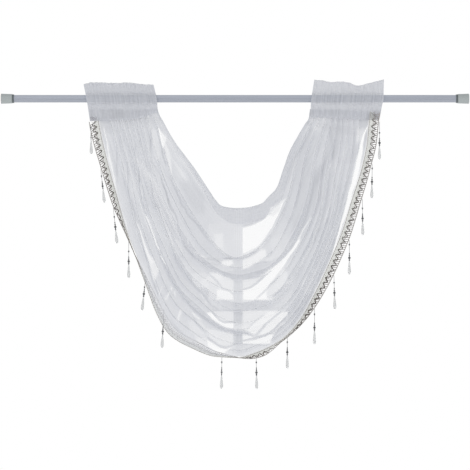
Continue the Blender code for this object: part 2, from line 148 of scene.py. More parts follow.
def slopes(x, y):
    """Slopes at the points that keep the curve between them from overshooting."""
    h = np.diff(x)
    d = np.diff(y) / h
    m = np.zeros(len(x))
    for i in range(1, len(x) - 1):
        if d[i - 1] * d[i] > 0:
            a = 2 * h[i] + h[i - 1]
            b = h[i] + 2 * h[i - 1]
            m[i] = (a + b) / (a / d[i - 1] + b / d[i])
    m[0] = d[0]
    m[-1] = d[-1]
    return m


def curve(x, y, at):
    """The smooth curve through x, y that never overshoots, read at the places given."""
    x = np.asarray(x, float)
    y = np.asarray(y, float)
    at = np.clip(np.asarray(at, float), x[0], x[-1])
    m = slopes(x, y)
    i = np.clip(np.searchsorted(x, at) - 1, 0, len(x) - 2)
    h = x[i + 1] - x[i]
    t = (at - x[i]) / h
    return (
        y[i] * (1 + 2 * t) * (1 - t) ** 2
        + m[i] * h * t * (1 - t) ** 2
        + y[i + 1] * t * t * (3 - 2 * t)
        + m[i + 1] * h * t * t * (t - 1)
    )


def ease(a, b, x):
    """0 at a, 1 at b, smooth between."""
    t = np.clip((np.asarray(x, float) - a) / (b - a), 0, 1)
    return t * t * (3 - 2 * t)


ROWS = Section(*np.array(SECTIONS, float).T)


def edges(u):
    """The swag's upper and lower edge as (x, z), and the braid's turn in radians, at u."""
    upper = np.array([curve(ROWS.u, ROWS.upper_x, u), curve(ROWS.u, ROWS.upper_z, u)])
    lower = np.array([curve(ROWS.u, ROWS.lower_x, u), curve(ROWS.u, ROWS.lower_z, u)])
    return upper, lower, np.radians(curve(ROWS.u, ROWS.turn, u))


def middle(u):
    """0 at the legs, 1 in the middle of the U."""
    return ease(0.05, 0.42, u) * ease(0.95, 0.58, u)


def end_share(u):
    """1 where the cloth is gathered behind a heading's band, 0 where it hangs free."""
    near, far = 0.040, 0.078
    return ease(far, near, u) + ease(1 - far, 1 - near, u)


def free_depth(u, across):
    """Depth of the cloth's front where it hangs free, across from 0 at the top to 1."""
    y = FRONT_AT_LEG + (FRONT_AT_CENTRE - FRONT_AT_LEG) * middle(u)
    return y + BACK_DRIFT * across * middle(u)


def front_depth(u, across):
    share = end_share(u)
    return free_depth(u, across) * (1 - share) + BEHIND_BAND * share


def turned_in(turn):
    """1 where the braid is turned in behind the cloth."""
    return float(ease(0.6, 2.0, turn))


def braid_frame(u):
    """The braid's inner line, its direction across and its face's normal, at u."""
    step = 0.004
    _, low, turn = edges(u)
    _, before, _ = edges(max(u - step, 0.0))
    _, after, _ = edges(min(u + step, 1.0))
    run = after - before
    run = run / np.hypot(run[0], run[1])
    outward = np.array([run[1], 0.0, -run[0]])
    back = np.array([0.0, 1.0, 0.0])
    across = outward * math.cos(turn) + back * math.sin(turn)
    normal = -back * math.cos(turn) + outward * math.sin(turn)
    back_by = BRAID_BACK * middle(u) + BRAID_BACK_TURNED * turned_in(turn) - BRAID_AHEAD
    return np.array([low[0], float(free_depth(u, 1.0) + back_by), low[1]]), across, normal


def even_steps(count, first=0.0, last=1.0):
    """Places u that lie evenly along the lower edge, and closer where the braid turns."""
    turn_counts = 60.0      # mm of edge that a turn of one radian stands for
    fine = np.linspace(first, last, 600)
    low = np.array([edges(u)[1] for u in fine])
    turn = np.array([edges(u)[2] for u in fine])
    gone = np.hypot(*np.diff(low, axis=0).T) + turn_counts * np.abs(np.diff(turn))
    gone = np.concatenate(([0.0], np.cumsum(gone)))
    return np.interp(np.linspace(0, gone[-1], count), gone, fine)


# ---- How close the cloth lies, seen through all its layers: 1 is one flat sheet ----
CLOSENESS_AT = (0.0, .10, .20, .28, .34, .40, .46, .50, .54, .60, .66, .72, .80, .90, 1.0)
CLOSENESS = (4.2, 3.9, 3.7, 3.9, 3.9, 3.7, 3.2, 2.7, 2.4, 2.5, 3.5, 4.6, 4.9, 4.9, 4.8)


def fold_points(u, length):
    """The section as (distance across, depth), from the hem's edge to the last fold."""
    m = float(middle(u))
    turn = TURN_AT_LEG + (TURN_AT_CENTRE - TURN_AT_LEG) * m
    gap = GAP_AT_LEG + (GAP_AT_CENTRE - GAP_AT_LEG) * m
    hem = float(curve(PLACES, HEM_DEPTH, u))
    y = float(front_depth(u, 0.0))
    half = HEM_TURN / 2
    out = [
        (hem, y + HEM_TURN + 0.8), (hem / 2, y + HEM_TURN + 0.4),
        (half, y + HEM_TURN), (0.0, y + half), (half, y),
    ]
    place = half
    lap = HEM_TURN
    for fold in FOLDS:
        side = fold.left if u < 0.5 else fold.right
        amount = side + (fold.middle - side) * m
        w = float(curve(PLACES, fold.across, u)) * length
        front = float(front_depth(u, w / length))
        start = out[-1][1]
        room = w - place
        before = min(lap, 0.45 * room)
        lap = min(fold.leg_overlap + (fold.middle_overlap - fold.leg_overlap) * m, LAP_LIMIT * room)
        t = turn * (0.6 + 0.4 * amount)
        g = gap * amount
        out.append((place + before, start + (front - start) * EARLY))
        out.append((w - lap, start + (front - start) * LATE))
        out.append((w, front))
        out.append((w, front + t))
        out.append((w - lap, front + t + g))
        out.append((w - lap, front + 2 * t + g))
        place = w - lap
    return out


def panel_section(u):
    """Points (x, y, z) of the cloth from the hem's free edge to its lower end."""
    upper, lower, turn = edges(u)
    span = lower - upper
    length = float(np.hypot(span[0], span[1]))
    points = []
    for w, y in fold_points(u, length):
        x, z = upper + span * (w / length)
        points.append((x, y, z))
    hinge, across, normal = braid_frame(u)
    under = hinge - normal * BRAID_LIFT
    under[1] += (BEHIND_BAND - FRONT_AT_LEG) * float(end_share(u))
    straight = (np.array(points[-1]) + under) / 2
    x, z = upper + span * (1 - TURN_SHORT / length)
    round_turn = np.array([x, hinge[1] - TURN_ROOM, z])
    share = turned_in(turn)
    points.append(tuple(straight * (1 - share) + round_turn * share))
    points.append(tuple(under))
    points.append(tuple(under + across * BRAID_OVER_CLOTH * 0.5))
    points.append(tuple(under + across * BRAID_OVER_CLOTH))
    return points


# ---- Meshes ----
def rounded(net, times=2):
    """A net of points with the corners along its second axis cut round."""
    for _ in range(times):
        near = net[:, :-1] * 0.75 + net[:, 1:] * 0.25
        far = net[:, :-1] * 0.25 + net[:, 1:] * 0.75
        inner = np.stack((near, far), axis=2).reshape(net.shape[0], -1, net.shape[2])
        net = np.concatenate((net[:, :1], inner, net[:, -1:]), axis=1)
    return net


def even_cuts(net, count):
    """Cuts the long spans of a net's second axis, alike in every row, into up to count points."""
    span = np.percentile(np.linalg.norm(np.diff(net, axis=1), axis=-1), 75, axis=0)
    step = span.sum() / count
    while np.maximum(1, np.round(span / step)).sum() > count - 1:
        step *= 1.01
    rows = []
    for k, cuts in enumerate(np.maximum(1, np.round(span / step)).astype(int)):
        rows += [net[:, k] * (1 - t) + net[:, k + 1] * t for t in np.arange(cuts) / cuts]
    return np.stack(rows + [net[:, -1]], axis=1)


def lengths(net, axis):
    """Distance along an axis of a net, from its first point."""
    step = np.linalg.norm(np.diff(net, axis=axis), axis=-1)
    first = np.zeros_like(np.take(step, [0], axis=axis))
    return np.concatenate((first, np.cumsum(step, axis=axis)), axis=axis)


def quads(nu, nv, base=0, around=False):
    """Corner numbers of the squares of a net."""
    i = np.arange(nu - 1)[:, None]
    j = np.arange(nv if around else nv - 1)[None, :]
    k = (j + 1) % nv
    cells = np.stack((i * nv + j, (i + 1) * nv + j, (i + 1) * nv + k, i * nv + k), axis=-1)
    return base + cells.reshape(-1, 4)


def make(name, points, faces, mats, uv=None, marks=None, which=None):
    """A smooth-shaded mesh that rides on the body, from points in mm."""
    points = np.asarray(points, float)
    faces = np.asarray(faces, np.int32)
    mesh = bpy.data.meshes.new(name)
    mesh.vertices.add(len(points))
    mesh.vertices.foreach_set("co", (points * MM).astype(np.float32).ravel())
    sides = faces.shape[1]
    mesh.loops.add(faces.size)
    mesh.loops.foreach_set("vertex_index", faces.ravel())
    mesh.polygons.add(len(faces))
    mesh.polygons.foreach_set("loop_start", np.arange(0, faces.size, sides, dtype=np.int32))
    mesh.update(calc_edges=True)
    mesh.polygons.foreach_set("use_smooth", np.ones(len(faces), bool))
    if uv is not None:
        layer = mesh.uv_layers.new(name="cut")
        layer.data.foreach_set("uv", np.asarray(uv, np.float32)[faces.ravel()].ravel())
    for key, values in (marks or {}).items():
        mark = mesh.attributes.new(key, "FLOAT", "POINT")
        mark.data.foreach_set("value", np.asarray(values, np.float32).ravel())
    for mat in mats:
        mesh.materials.append(mat)
    if which is not None:
        mesh.polygons.foreach_set("material_index", np.asarray(which, np.int32))
    mesh.update()
    mesh.validate()
    obj = bpy.data.objects.new(name, mesh)
    bpy.context.scene.collection.objects.link(obj)
    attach(obj, "root")
    return obj


class Build:
    """Points and four-sided faces of one piece, gathered part by part."""

    def __init__(self):
        self.points, self.faces, self.which, self.count = [], [], [], 0

    def net(self, net, around=False, mat=0):
        nu, nv, _ = net.shape
        cells = quads(nu, nv, self.count, around)
        self.points.append(net.reshape(-1, 3))
        self.faces.append(cells)
        self.which.append(np.full(len(cells), mat))
        self.count += nu * nv

    def tube(self, path, radius, sides=6, mat=0):
        """A tube along a path. The radius is one number or one for each point."""
        path = np.asarray(path, float)
        radius = np.broadcast_to(np.asarray(radius, float), (len(path),))
        along = np.gradient(path, axis=0)
        along /= np.maximum(np.linalg.norm(along, axis=1, keepdims=True), 1e-9)
        ref = np.tile((0.0, 1.0, 0.0), (len(path), 1))
        ref[np.abs(along[:, 1]) > 0.9] = (1.0, 0.0, 0.0)
        side = np.cross(along, ref)
        side /= np.linalg.norm(side, axis=1, keepdims=True)
        other = np.cross(along, side)
        a = 2 * math.pi * np.arange(sides) / sides
        ring = side[:, None] * np.cos(a)[None, :, None] + other[:, None] * np.sin(a)[None, :, None]
        body = path[:, None] + ring * radius[:, None, None]
        first = np.repeat(path[:1, None], sides, axis=1)
        last = np.repeat(path[-1:, None], sides, axis=1)
        self.net(np.concatenate((first, body, last)), True, mat)

    def lathe(self, profile, place, axis, sides=16, mat=0):
        """A turned shape from (distance along, radius)."""
        place = np.asarray(place, float)
        axis = np.asarray(axis, float) / np.linalg.norm(axis)
        side = np.cross(axis, (0.0, 1.0, 0.0))
        side /= np.linalg.norm(side)
        other = np.cross(axis, side)
        a = 2 * math.pi * np.arange(sides) / sides
        ring = side * np.cos(a)[:, None] + other * np.sin(a)[:, None]
        rows = [place + axis * d + ring * r for d, r in profile]
        self.net(np.array(rows), True, mat)

    def make(self, name, mats, slot):
        points = np.concatenate(self.points)
        return make(name, points, np.concatenate(self.faces), mats,
                    which=np.concatenate(self.which))


# ---- Materials ----
def nodes_of(name):
    mat = bpy.data.materials.new(name)
    mat.use_nodes = True
    tree = mat.node_tree
    return mat, tree, tree.nodes["Principled BSDF"]


def fill(tree, made, ins):
    """Gives a node's sockets, by name or number, a value or a link."""
    for key, value in ins.items():
        if isinstance(value, bpy.types.NodeSocket):
            tree.links.new(value, made.inputs[key])
        else:
            made.inputs[key].default_value = value


def node(tree, kind, props=None, ins=None):
    made = tree.nodes.new(kind)
    for key, value in (props or {}).items():
        setattr(made, key, value)
    fill(tree, made, ins or {})
    return made


def math_node(tree, op, a, b=0.0):
    made = node(tree, "ShaderNodeMath", props={"operation": op}, ins={0: a, 1: b})
    return made.outputs[0]


def spread(tree, value, lo, hi, to_lo, to_hi):
    made = node(tree, "ShaderNodeMapRange",
                ins={"Value": value, "From Min": lo, "From Max": hi, "To Min": to_lo, "To Max": to_hi})
    return made.outputs["Result"]


def noise(tree, vector, scale, detail=2.0, stretch=(1, 1, 1)):
    """Noise with its grain drawn out by the stretch."""
    place = node(tree, "ShaderNodeMapping", ins={"Vector": vector, "Scale": stretch})
    made = node(tree, "ShaderNodeTexNoise",
                ins={"Vector": place.outputs[0], "Scale": scale, "Detail": detail})
    return made.outputs["Fac"]


def tinted(tree, fac, low, high):
    """A colour between two, led by a value."""
    ramp = node(tree, "ShaderNodeValToRGB", ins={"Fac": fac})
    ramp.color_ramp.elements[0].color = (*low, 1)
    ramp.color_ramp.elements[1].color = (*high, 1)
    return ramp.outputs["Color"]


def scaled(tree, colour, factor):
    made = node(tree, "ShaderNodeVectorMath", {"operation": "SCALE"}, {0: colour, "Scale": factor})
    return made.outputs[0]


def blend(tree, a, b, share):
    """share of a and the rest of b."""
    return math_node(tree, "ADD", math_node(tree, "MULTIPLY", a, share),
                     math_node(tree, "MULTIPLY", b, 1 - share))


def object_place(tree):
    return node(tree, "ShaderNodeTexCoord").outputs["Object"]


def bump(tree, shader, height, distance, strength=1.0):
    made = node(tree, "ShaderNodeBump",
                ins={"Height": height, "Distance": distance, "Strength": strength})
    fill(tree, shader, {"Normal": made.outputs[0]})


CLEAR = 0.71          # share of light that one flat layer of the cloth lets by


def voile(name, low, high):
    """Sheer plain weave: closer threads where the mesh's mark says so, slubs both ways, and painted
    shade that darkens the colour where the gathers lie closest.
    """
    mat, tree, shader = nodes_of(name)
    uv = node(tree, "ShaderNodeUVMap", props={"uv_map": "cut"}).outputs[0]
    close = node(tree, "ShaderNodeAttribute", props={"attribute_name": "close"}).outputs["Fac"]
    warp = noise(tree, uv, 1.0, 3.0, (420, 26, 1))
    weft = noise(tree, uv, 1.0, 3.0, (26, 420, 1))
    cross = math_node(tree, "ADD", warp, weft)
    slub = spread(tree, cross, 0.7, 1.3, 0.88, 1.12)
    cloud = spread(tree, noise(tree, uv, 22.0, 3.0), 0.3, 0.7, 0.93, 1.07)
    much = math_node(tree, "MULTIPLY", math_node(tree, "MULTIPLY", close, slub), cloud)
    clear = math_node(tree, "POWER", CLEAR, much)
    alpha = math_node(tree, "SUBTRACT", 1.0, clear)
    # painted shade: the colour darkens where the closeness passes 4.2, in the tight gathers of bands
    # and creases
    painted_shading = spread(tree, close, 4.2, 7.5, 1.0, 0.80)
    fill(tree, shader, {
        "Alpha": alpha, "Base Color": scaled(tree, tinted(tree, cross, low, high), painted_shading),
        "Roughness": 0.75, "Specular IOR Level": 0.25, "Sheen Weight": 0.12, "Sheen Roughness": 0.4,
    })
    bump(tree, shader, cross, 0.0003, 0.5)
    return mat


def thread(name, low, high, rough=0.75, scale=900.0, bump_by=0.0003, cover=1.0):
    """Twisted or woven thread. An open net covers less than all of what is behind it."""
    mat, tree, shader = nodes_of(name)
    place = object_place(tree)
    grain = noise(tree, place, scale, 3.0)
    both = blend(tree, grain, noise(tree, place, 60.0, 2.0), 0.65)
    wide = spread(tree, both, 0.35, 0.65, 0.0, 1.0)
    fill(tree, shader, {"Base Color": tinted(tree, wide, low, high), "Roughness": rough})
    if cover < 1:
        shown = spread(tree, both, 0.35, 0.65, cover - 0.15, cover + 0.15)
        fill(tree, shader, {"Alpha": shown})
    bump(tree, shader, grain, bump_by, 0.6)
    return mat


def rod_paint_with_painted_light():
    """Drawn paint, with painted light: lighter towards the rod's upper side and a little darker right
    at its top.
    """
    mat, tree, shader = nodes_of("rod_paint_painted_light")
    place = object_place(tree)
    drawn = noise(tree, place, 1.0, 4.0, (9, 900, 900))
    mix = blend(tree, drawn, noise(tree, place, 1400.0, 2.0), 0.7)
    # painted light by height: the colour grows lighter going up the rod and a little darker right at
    # its top
    high = node(tree, "ShaderNodeSeparateXYZ", ins={"Vector": place}).outputs["Z"]
    painted_shading = math_node(tree, "MULTIPLY", spread(tree, high, -0.001, 0.0065, 0.96, 1.24),
                      spread(tree, high, 0.0062, 0.008, 1.0, 0.92))
    paint = tinted(tree, spread(tree, mix, 0.35, 0.65, 0, 1), (0.47, 0.50, 0.57), (0.58, 0.61, 0.68))
    fill(tree, shader, {
        "Base Color": scaled(tree, paint, painted_shading), "Metallic": 0.15,
        "Roughness": spread(tree, drawn, 0.3, 0.7, 0.30, 0.42),
    })
    bump(tree, shader, drawn, 0.00005, 0.5)
    return mat


CAP_GAP_SHADOW = (0.0238, 0.0295)     # the painted shadow in the gap between cup and rod, in metres from the rod's end


def cap_plastic_with_gap_shadow(name, shadow_from, shadow_to):
    """Moulded plastic, with a painted shadow: a dark band where the gap between cup and rod lies in
    shade.
    """
    mat, tree, shader = nodes_of(name)
    place = object_place(tree)
    along = node(tree, "ShaderNodeSeparateXYZ", ins={"Vector": place}).outputs["X"]
    # painted shadow: a dark band across the cap's narrow collar next to the rod
    inside = math_node(tree, "MULTIPLY", math_node(tree, "GREATER_THAN", along, shadow_from),
                       math_node(tree, "LESS_THAN", along, shadow_to))
    grain = noise(tree, place, 500.0, 3.0)
    wide = spread(tree, grain, 0.3, 0.7, 0, 1)
    light = tinted(tree, wide, (0.50, 0.54, 0.535), (0.57, 0.615, 0.61))
    dark = tinted(tree, grain, (0.14, 0.16, 0.17), (0.20, 0.23, 0.24))
    mix = node(tree, "ShaderNodeMix", {"data_type": "RGBA"}, {"Factor": inside, "A": light, "B": dark})
    fill(tree, shader, {"Base Color": mix.outputs["Result"], "Roughness": 0.38})
    bump(tree, shader, grain, 0.00006, 0.4)
    return mat


def glass(name, colour, rough, clear, cover=(1.0, 1.0)):
    """Glass. cover is how much it hides of what is behind it, at its middle and at its rim."""
    mat, tree, shader = nodes_of(name)
    ripple = noise(tree, object_place(tree), 260.0, 2.0)
    low = tuple(c * 0.94 for c in colour)
    fill(tree, shader, {
        "Base Color": tinted(tree, ripple, low, colour), "Roughness": rough, "IOR": 1.48,
        "Transmission Weight": clear,
    })
    if cover[0] < 1:
        rim = node(tree, "ShaderNodeLayerWeight", ins={"Blend": 0.35}).outputs["Facing"]
        fill(tree, shader, {"Alpha": spread(tree, rim, 0.0, 1.0, *cover)})
    bump(tree, shader, ripple, 0.0002, 0.3)
    return mat


# ---- The swag's cloth ----
PANEL_U, PANEL_V = 300, 328
STREAKS = 190            # fine gathers, left and right in turn
STREAK_DEPTH = 0.16      # share by which a fine gather changes the closeness
STREAK_WIDTHS = (2.0, 3.0, 4.5, 7.0)
LAYER_STEPS = (-0.9, -0.45, 0.0, 0.45, 0.9)    # mm, over which a count of layers is evened out
LAYER_SHARE_AT_LEG, LAYER_SHARE = 1.15, 0.87   # under 1, a fold of three layers shows darker
UNDER_BRAID = 0.7        # closeness of the single edge behind the sheer tape, seen straight
UNDER_SLANT = 1.6        # added there where the braid slants
ROLLED = 0.6             # share by which the edge is sheerer where the braid is behind it
TOP_HEM = 1.0            # added along the turned upper edge
EDGE_ON = 0.2            # closeness kept where the sheet turns straight back in a fold
SWELL_STREAK, SWELL_CREASE, SWELL_SLIT = -0.5, -0.9, 0.8    # mm that each moves the cloth back

# Patches where the cloth lies flatter or closer: closeness, softness of the edge, then x and z
# of each corner
PATCHES = (
    (4.1, 4.0, (602, -480,  617, -433,  634, -390,  654, -351,  671, -351,  656, -401,  639, -444,
        621, -480)),
    (5.6, 5.0, (718, -41,  737, -41,  733, -89,  718, -132,  699, -132,  707, -84)),
    (3.2, 6.0, (320, -235,  342, -250,  363, -287,  389, -330,  376, -338,  348, -304,  320, -265)),
    (4.2, 8.0, (363, -153,  396, -186,  439, -229,  460, -278,  497, -304,  497, -364,  475, -351,
        428, -315,  396, -272,  368, -207)),
    (3.5, 10.0, (252, -153,  277, -250,  320, -325,  385, -411,  460, -480,  535, -497,  460, -519,
        385, -487,  320, -411,  273, -315,  239, -218)),
    (4.3, 6.0, (740, -132,  755, -143,  731, -218,  710, -304,  692, -304,  710, -218,  725, -143)),
    (3.3, 9.0, (325, -407,  342, -433,  368, -471,  398, -497,  428, -519,  406, -527,  368, -510,
        338, -471,  320, -433)),
    (4.7, 8.0, (763, -250,  755, -293,  740, -336,  712, -401,  673, -450,  639, -489,  617, -497,
        634, -450,  669, -401,  707, -325,  733, -265)),
    (3.6, 5.0, (666, -54,  682, -31,  707, -18,  714, -29,  699, -50,  677, -76)),
    (5.0, 9.0, (385, -179,  406, -175,  428, -196,  445, -224,  436, -250,  419, -248,  400, -222)),
    (5.2, 8.0, (643, -78,  669, -63,  673, -153,  656, -250,  634, -299,  621, -304,  634, -229)),
    (4.5, 5.5, (219, -39,  320, -33,  318, -59,  307, -89,  318, -127,  327, -166,  312, -153,
        292, -127,  271, -102,  243, -82,  224, -69)),
    (4.3, 1.7, (439, -209,  469, -230,  514, -236,  548, -232,  568, -213,  600, -194,  617, -205,
        596, -224,  583, -233,  574, -246,  563, -259,  553, -264,  535, -272,  518, -275,  499, -269,
        482, -265,  473, -250,  460, -244,  436, -229)),
    (3.1, 2.6, (445, -269,  500, -269,  500, -340,  479, -340,  460, -325,  445, -304)),
    (1.9, 3.4, (458, -291,  477, -289,  479, -325,  462, -317)),
    (0.4, 1.3, (519, -278,  535, -274,  553, -266,  565, -259,  575, -247,  584, -234,  600, -223,
        614, -213,  606, -226,  599, -244,  590, -261,  582, -278,  573, -293,  561, -308,  548, -321,
        533, -330,  519, -335)),
    (1.25, 2.6, (579, -234,  604, -220,  598, -241,  585, -253,  574, -250)),
    (1.1, 2.4, (519, -347,  535, -341,  548, -333,  561, -324,  570, -325,  571, -336,  557, -348,
        544, -355,  531, -363,  519, -367)),
    (4.4, 1.3, (479, -370,  518, -370,  535, -365,  548, -356,  561, -351,  583, -347,  602, -337,
        619, -320,  639, -298,  624, -323,  608, -340,  591, -355,  570, -370,  553, -383,  535, -388,
        497, -388,  479, -379)),
    (1.0, 2.4, (473, -351,  479, -347,  497, -346,  499, -355,  490, -361,  477, -358)),
    (0.42, 1.3, (570, -373,  583, -364,  600, -350,  615, -335,  626, -321,  636, -305,  642, -299,
        643, -305,  634, -321,  621, -338,  612, -353,  602, -367,  593, -379,  585, -390,  615, -389,
        604, -407,  591, -416,  583, -432,  520, -432,  520, -411,  535, -407,  550, -398,  563, -385)),
    (1.6, 1.7, (520, -389,  548, -387,  557, -385,  548, -396,  535, -405,  520, -408)),
    (1.5, 2.6, (445, -373,  464, -373,  479, -381,  500, -390,  500, -432,  462, -432,  445, -411)),
    (2.1, 2.6, (445, -392,  467, -396,  471, -411,  460, -432,  447, -432)),
    (0.75, 2.1, (464, -409,  497, -415,  499, -431,  464, -432)),
    (1.1, 1.9, (452, -375,  473, -380,  479, -390,  464, -387)),
    (2.4, 1.9, (411, -373,  443, -373,  445, -407,  424, -407,  411, -392)),
    (1.75, 1.7, (430, -388,  445, -381,  445, -407,  432, -405)),
    (3.0, 1.3, (447, -433,  520, -433,  520, -455,  452, -455)),
    (3.8, 1.3, (520, -438,  544, -434,  583, -433,  583, -455,  520, -455)),
    (1.8, 3.0, (578, -398,  591, -381,  606, -364,  615, -373,  617, -394,  611, -416,  602, -431,
        574, -431,  570, -418)),
    (3.3, 2.1, (583, -431,  617, -433,  617, -454,  583, -455)),
    (1.9, 1.5, (456, -456,  501, -456,  501, -478,  475, -479,  464, -469)),
    (0.5, 1.3, (441, -459,  452, -458,  464, -471,  477, -481,  500, -482,  500, -494,  484, -492,
        469, -484,  454, -474)),
    (0.9, 1.5, (520, -456,  602, -456,  583, -473,  561, -494,  548, -507,  535, -501,  520, -495)),
    (1.65, 2.1, (520, -456,  578, -456,  548, -476,  527, -496,  520, -496)),
    (0.9, 1.3, (602, -459,  617, -456,  617, -466,  598, -482,  580, -501,  553, -508,  570, -487,
        585, -473)),
    (1, 1.1, (520, -506,  535, -509,  548, -512,  535, -516,  520, -519)),
    (0.65, 1.1, (520, -522,  548, -517,  578, -506,  585, -506,  580, -526,  520, -526)),
    (2.9, 1.1, (475, -555,  479, -547,  492, -540,  501, -531,  518, -527,  548, -530,  574, -528,
        578, -536,  561, -545,  535, -555)),
    (1.7, 1.7, (445, -493,  471, -499,  501, -505,  501, -527,  484, -532,  469, -528,  456, -519,
        445, -511)),
    (0.4, 1.3, (443, -517,  456, -525,  471, -534,  484, -537,  499, -532,  490, -539,  475, -549,
        458, -540,  443, -531)),
    (2.4, 2.6, (404, -476,  428, -476,  445, -493,  445, -510,  419, -512,  406, -497)),
    (1.7, 2.1, (419, -512,  443, -512,  443, -530,  421, -527)),
    (3.5, 1.5, (621, -471,  621, -502,  600, -517,  582, -526,  585, -510,  604, -487)),
    (3.2, 2.1, (591, -416,  606, -407,  617, -396,  630, -398,  621, -433,  585, -433)),
    (2.8, 1.7, (326, -65,  333, -65,  339, -89,  342, -115,  338, -138,  329, -125,  325, -102)),
    (1.0, 1.5, (338, -62,  342, -68,  356, -84,  354, -95,  350, -110,  345, -100,  340, -80)),
    (1.5, 2.2, (312, -325,  318, -334,  327, -342,  335, -358,  341, -370,  335, -383,  329, -394,
        325, -381,  321, -364,  316, -342)),
    (2.6, 2.1, (765, -65,  785, -63,  774, -91,  763, -95)),
    (2.7, 2.1, (608, -288,  602, -304,  599, -338,  583, -338,  583, -310,  593, -297)),
    (3.3, 2.1, (565, -304,  580, -280,  583, -338,  571, -342,  570, -325,  561, -321)),
    (3, 3.2, (385, -342,  400, -351,  424, -364,  441, -370,  411, -370,  406, -385,  393, -364)),
)
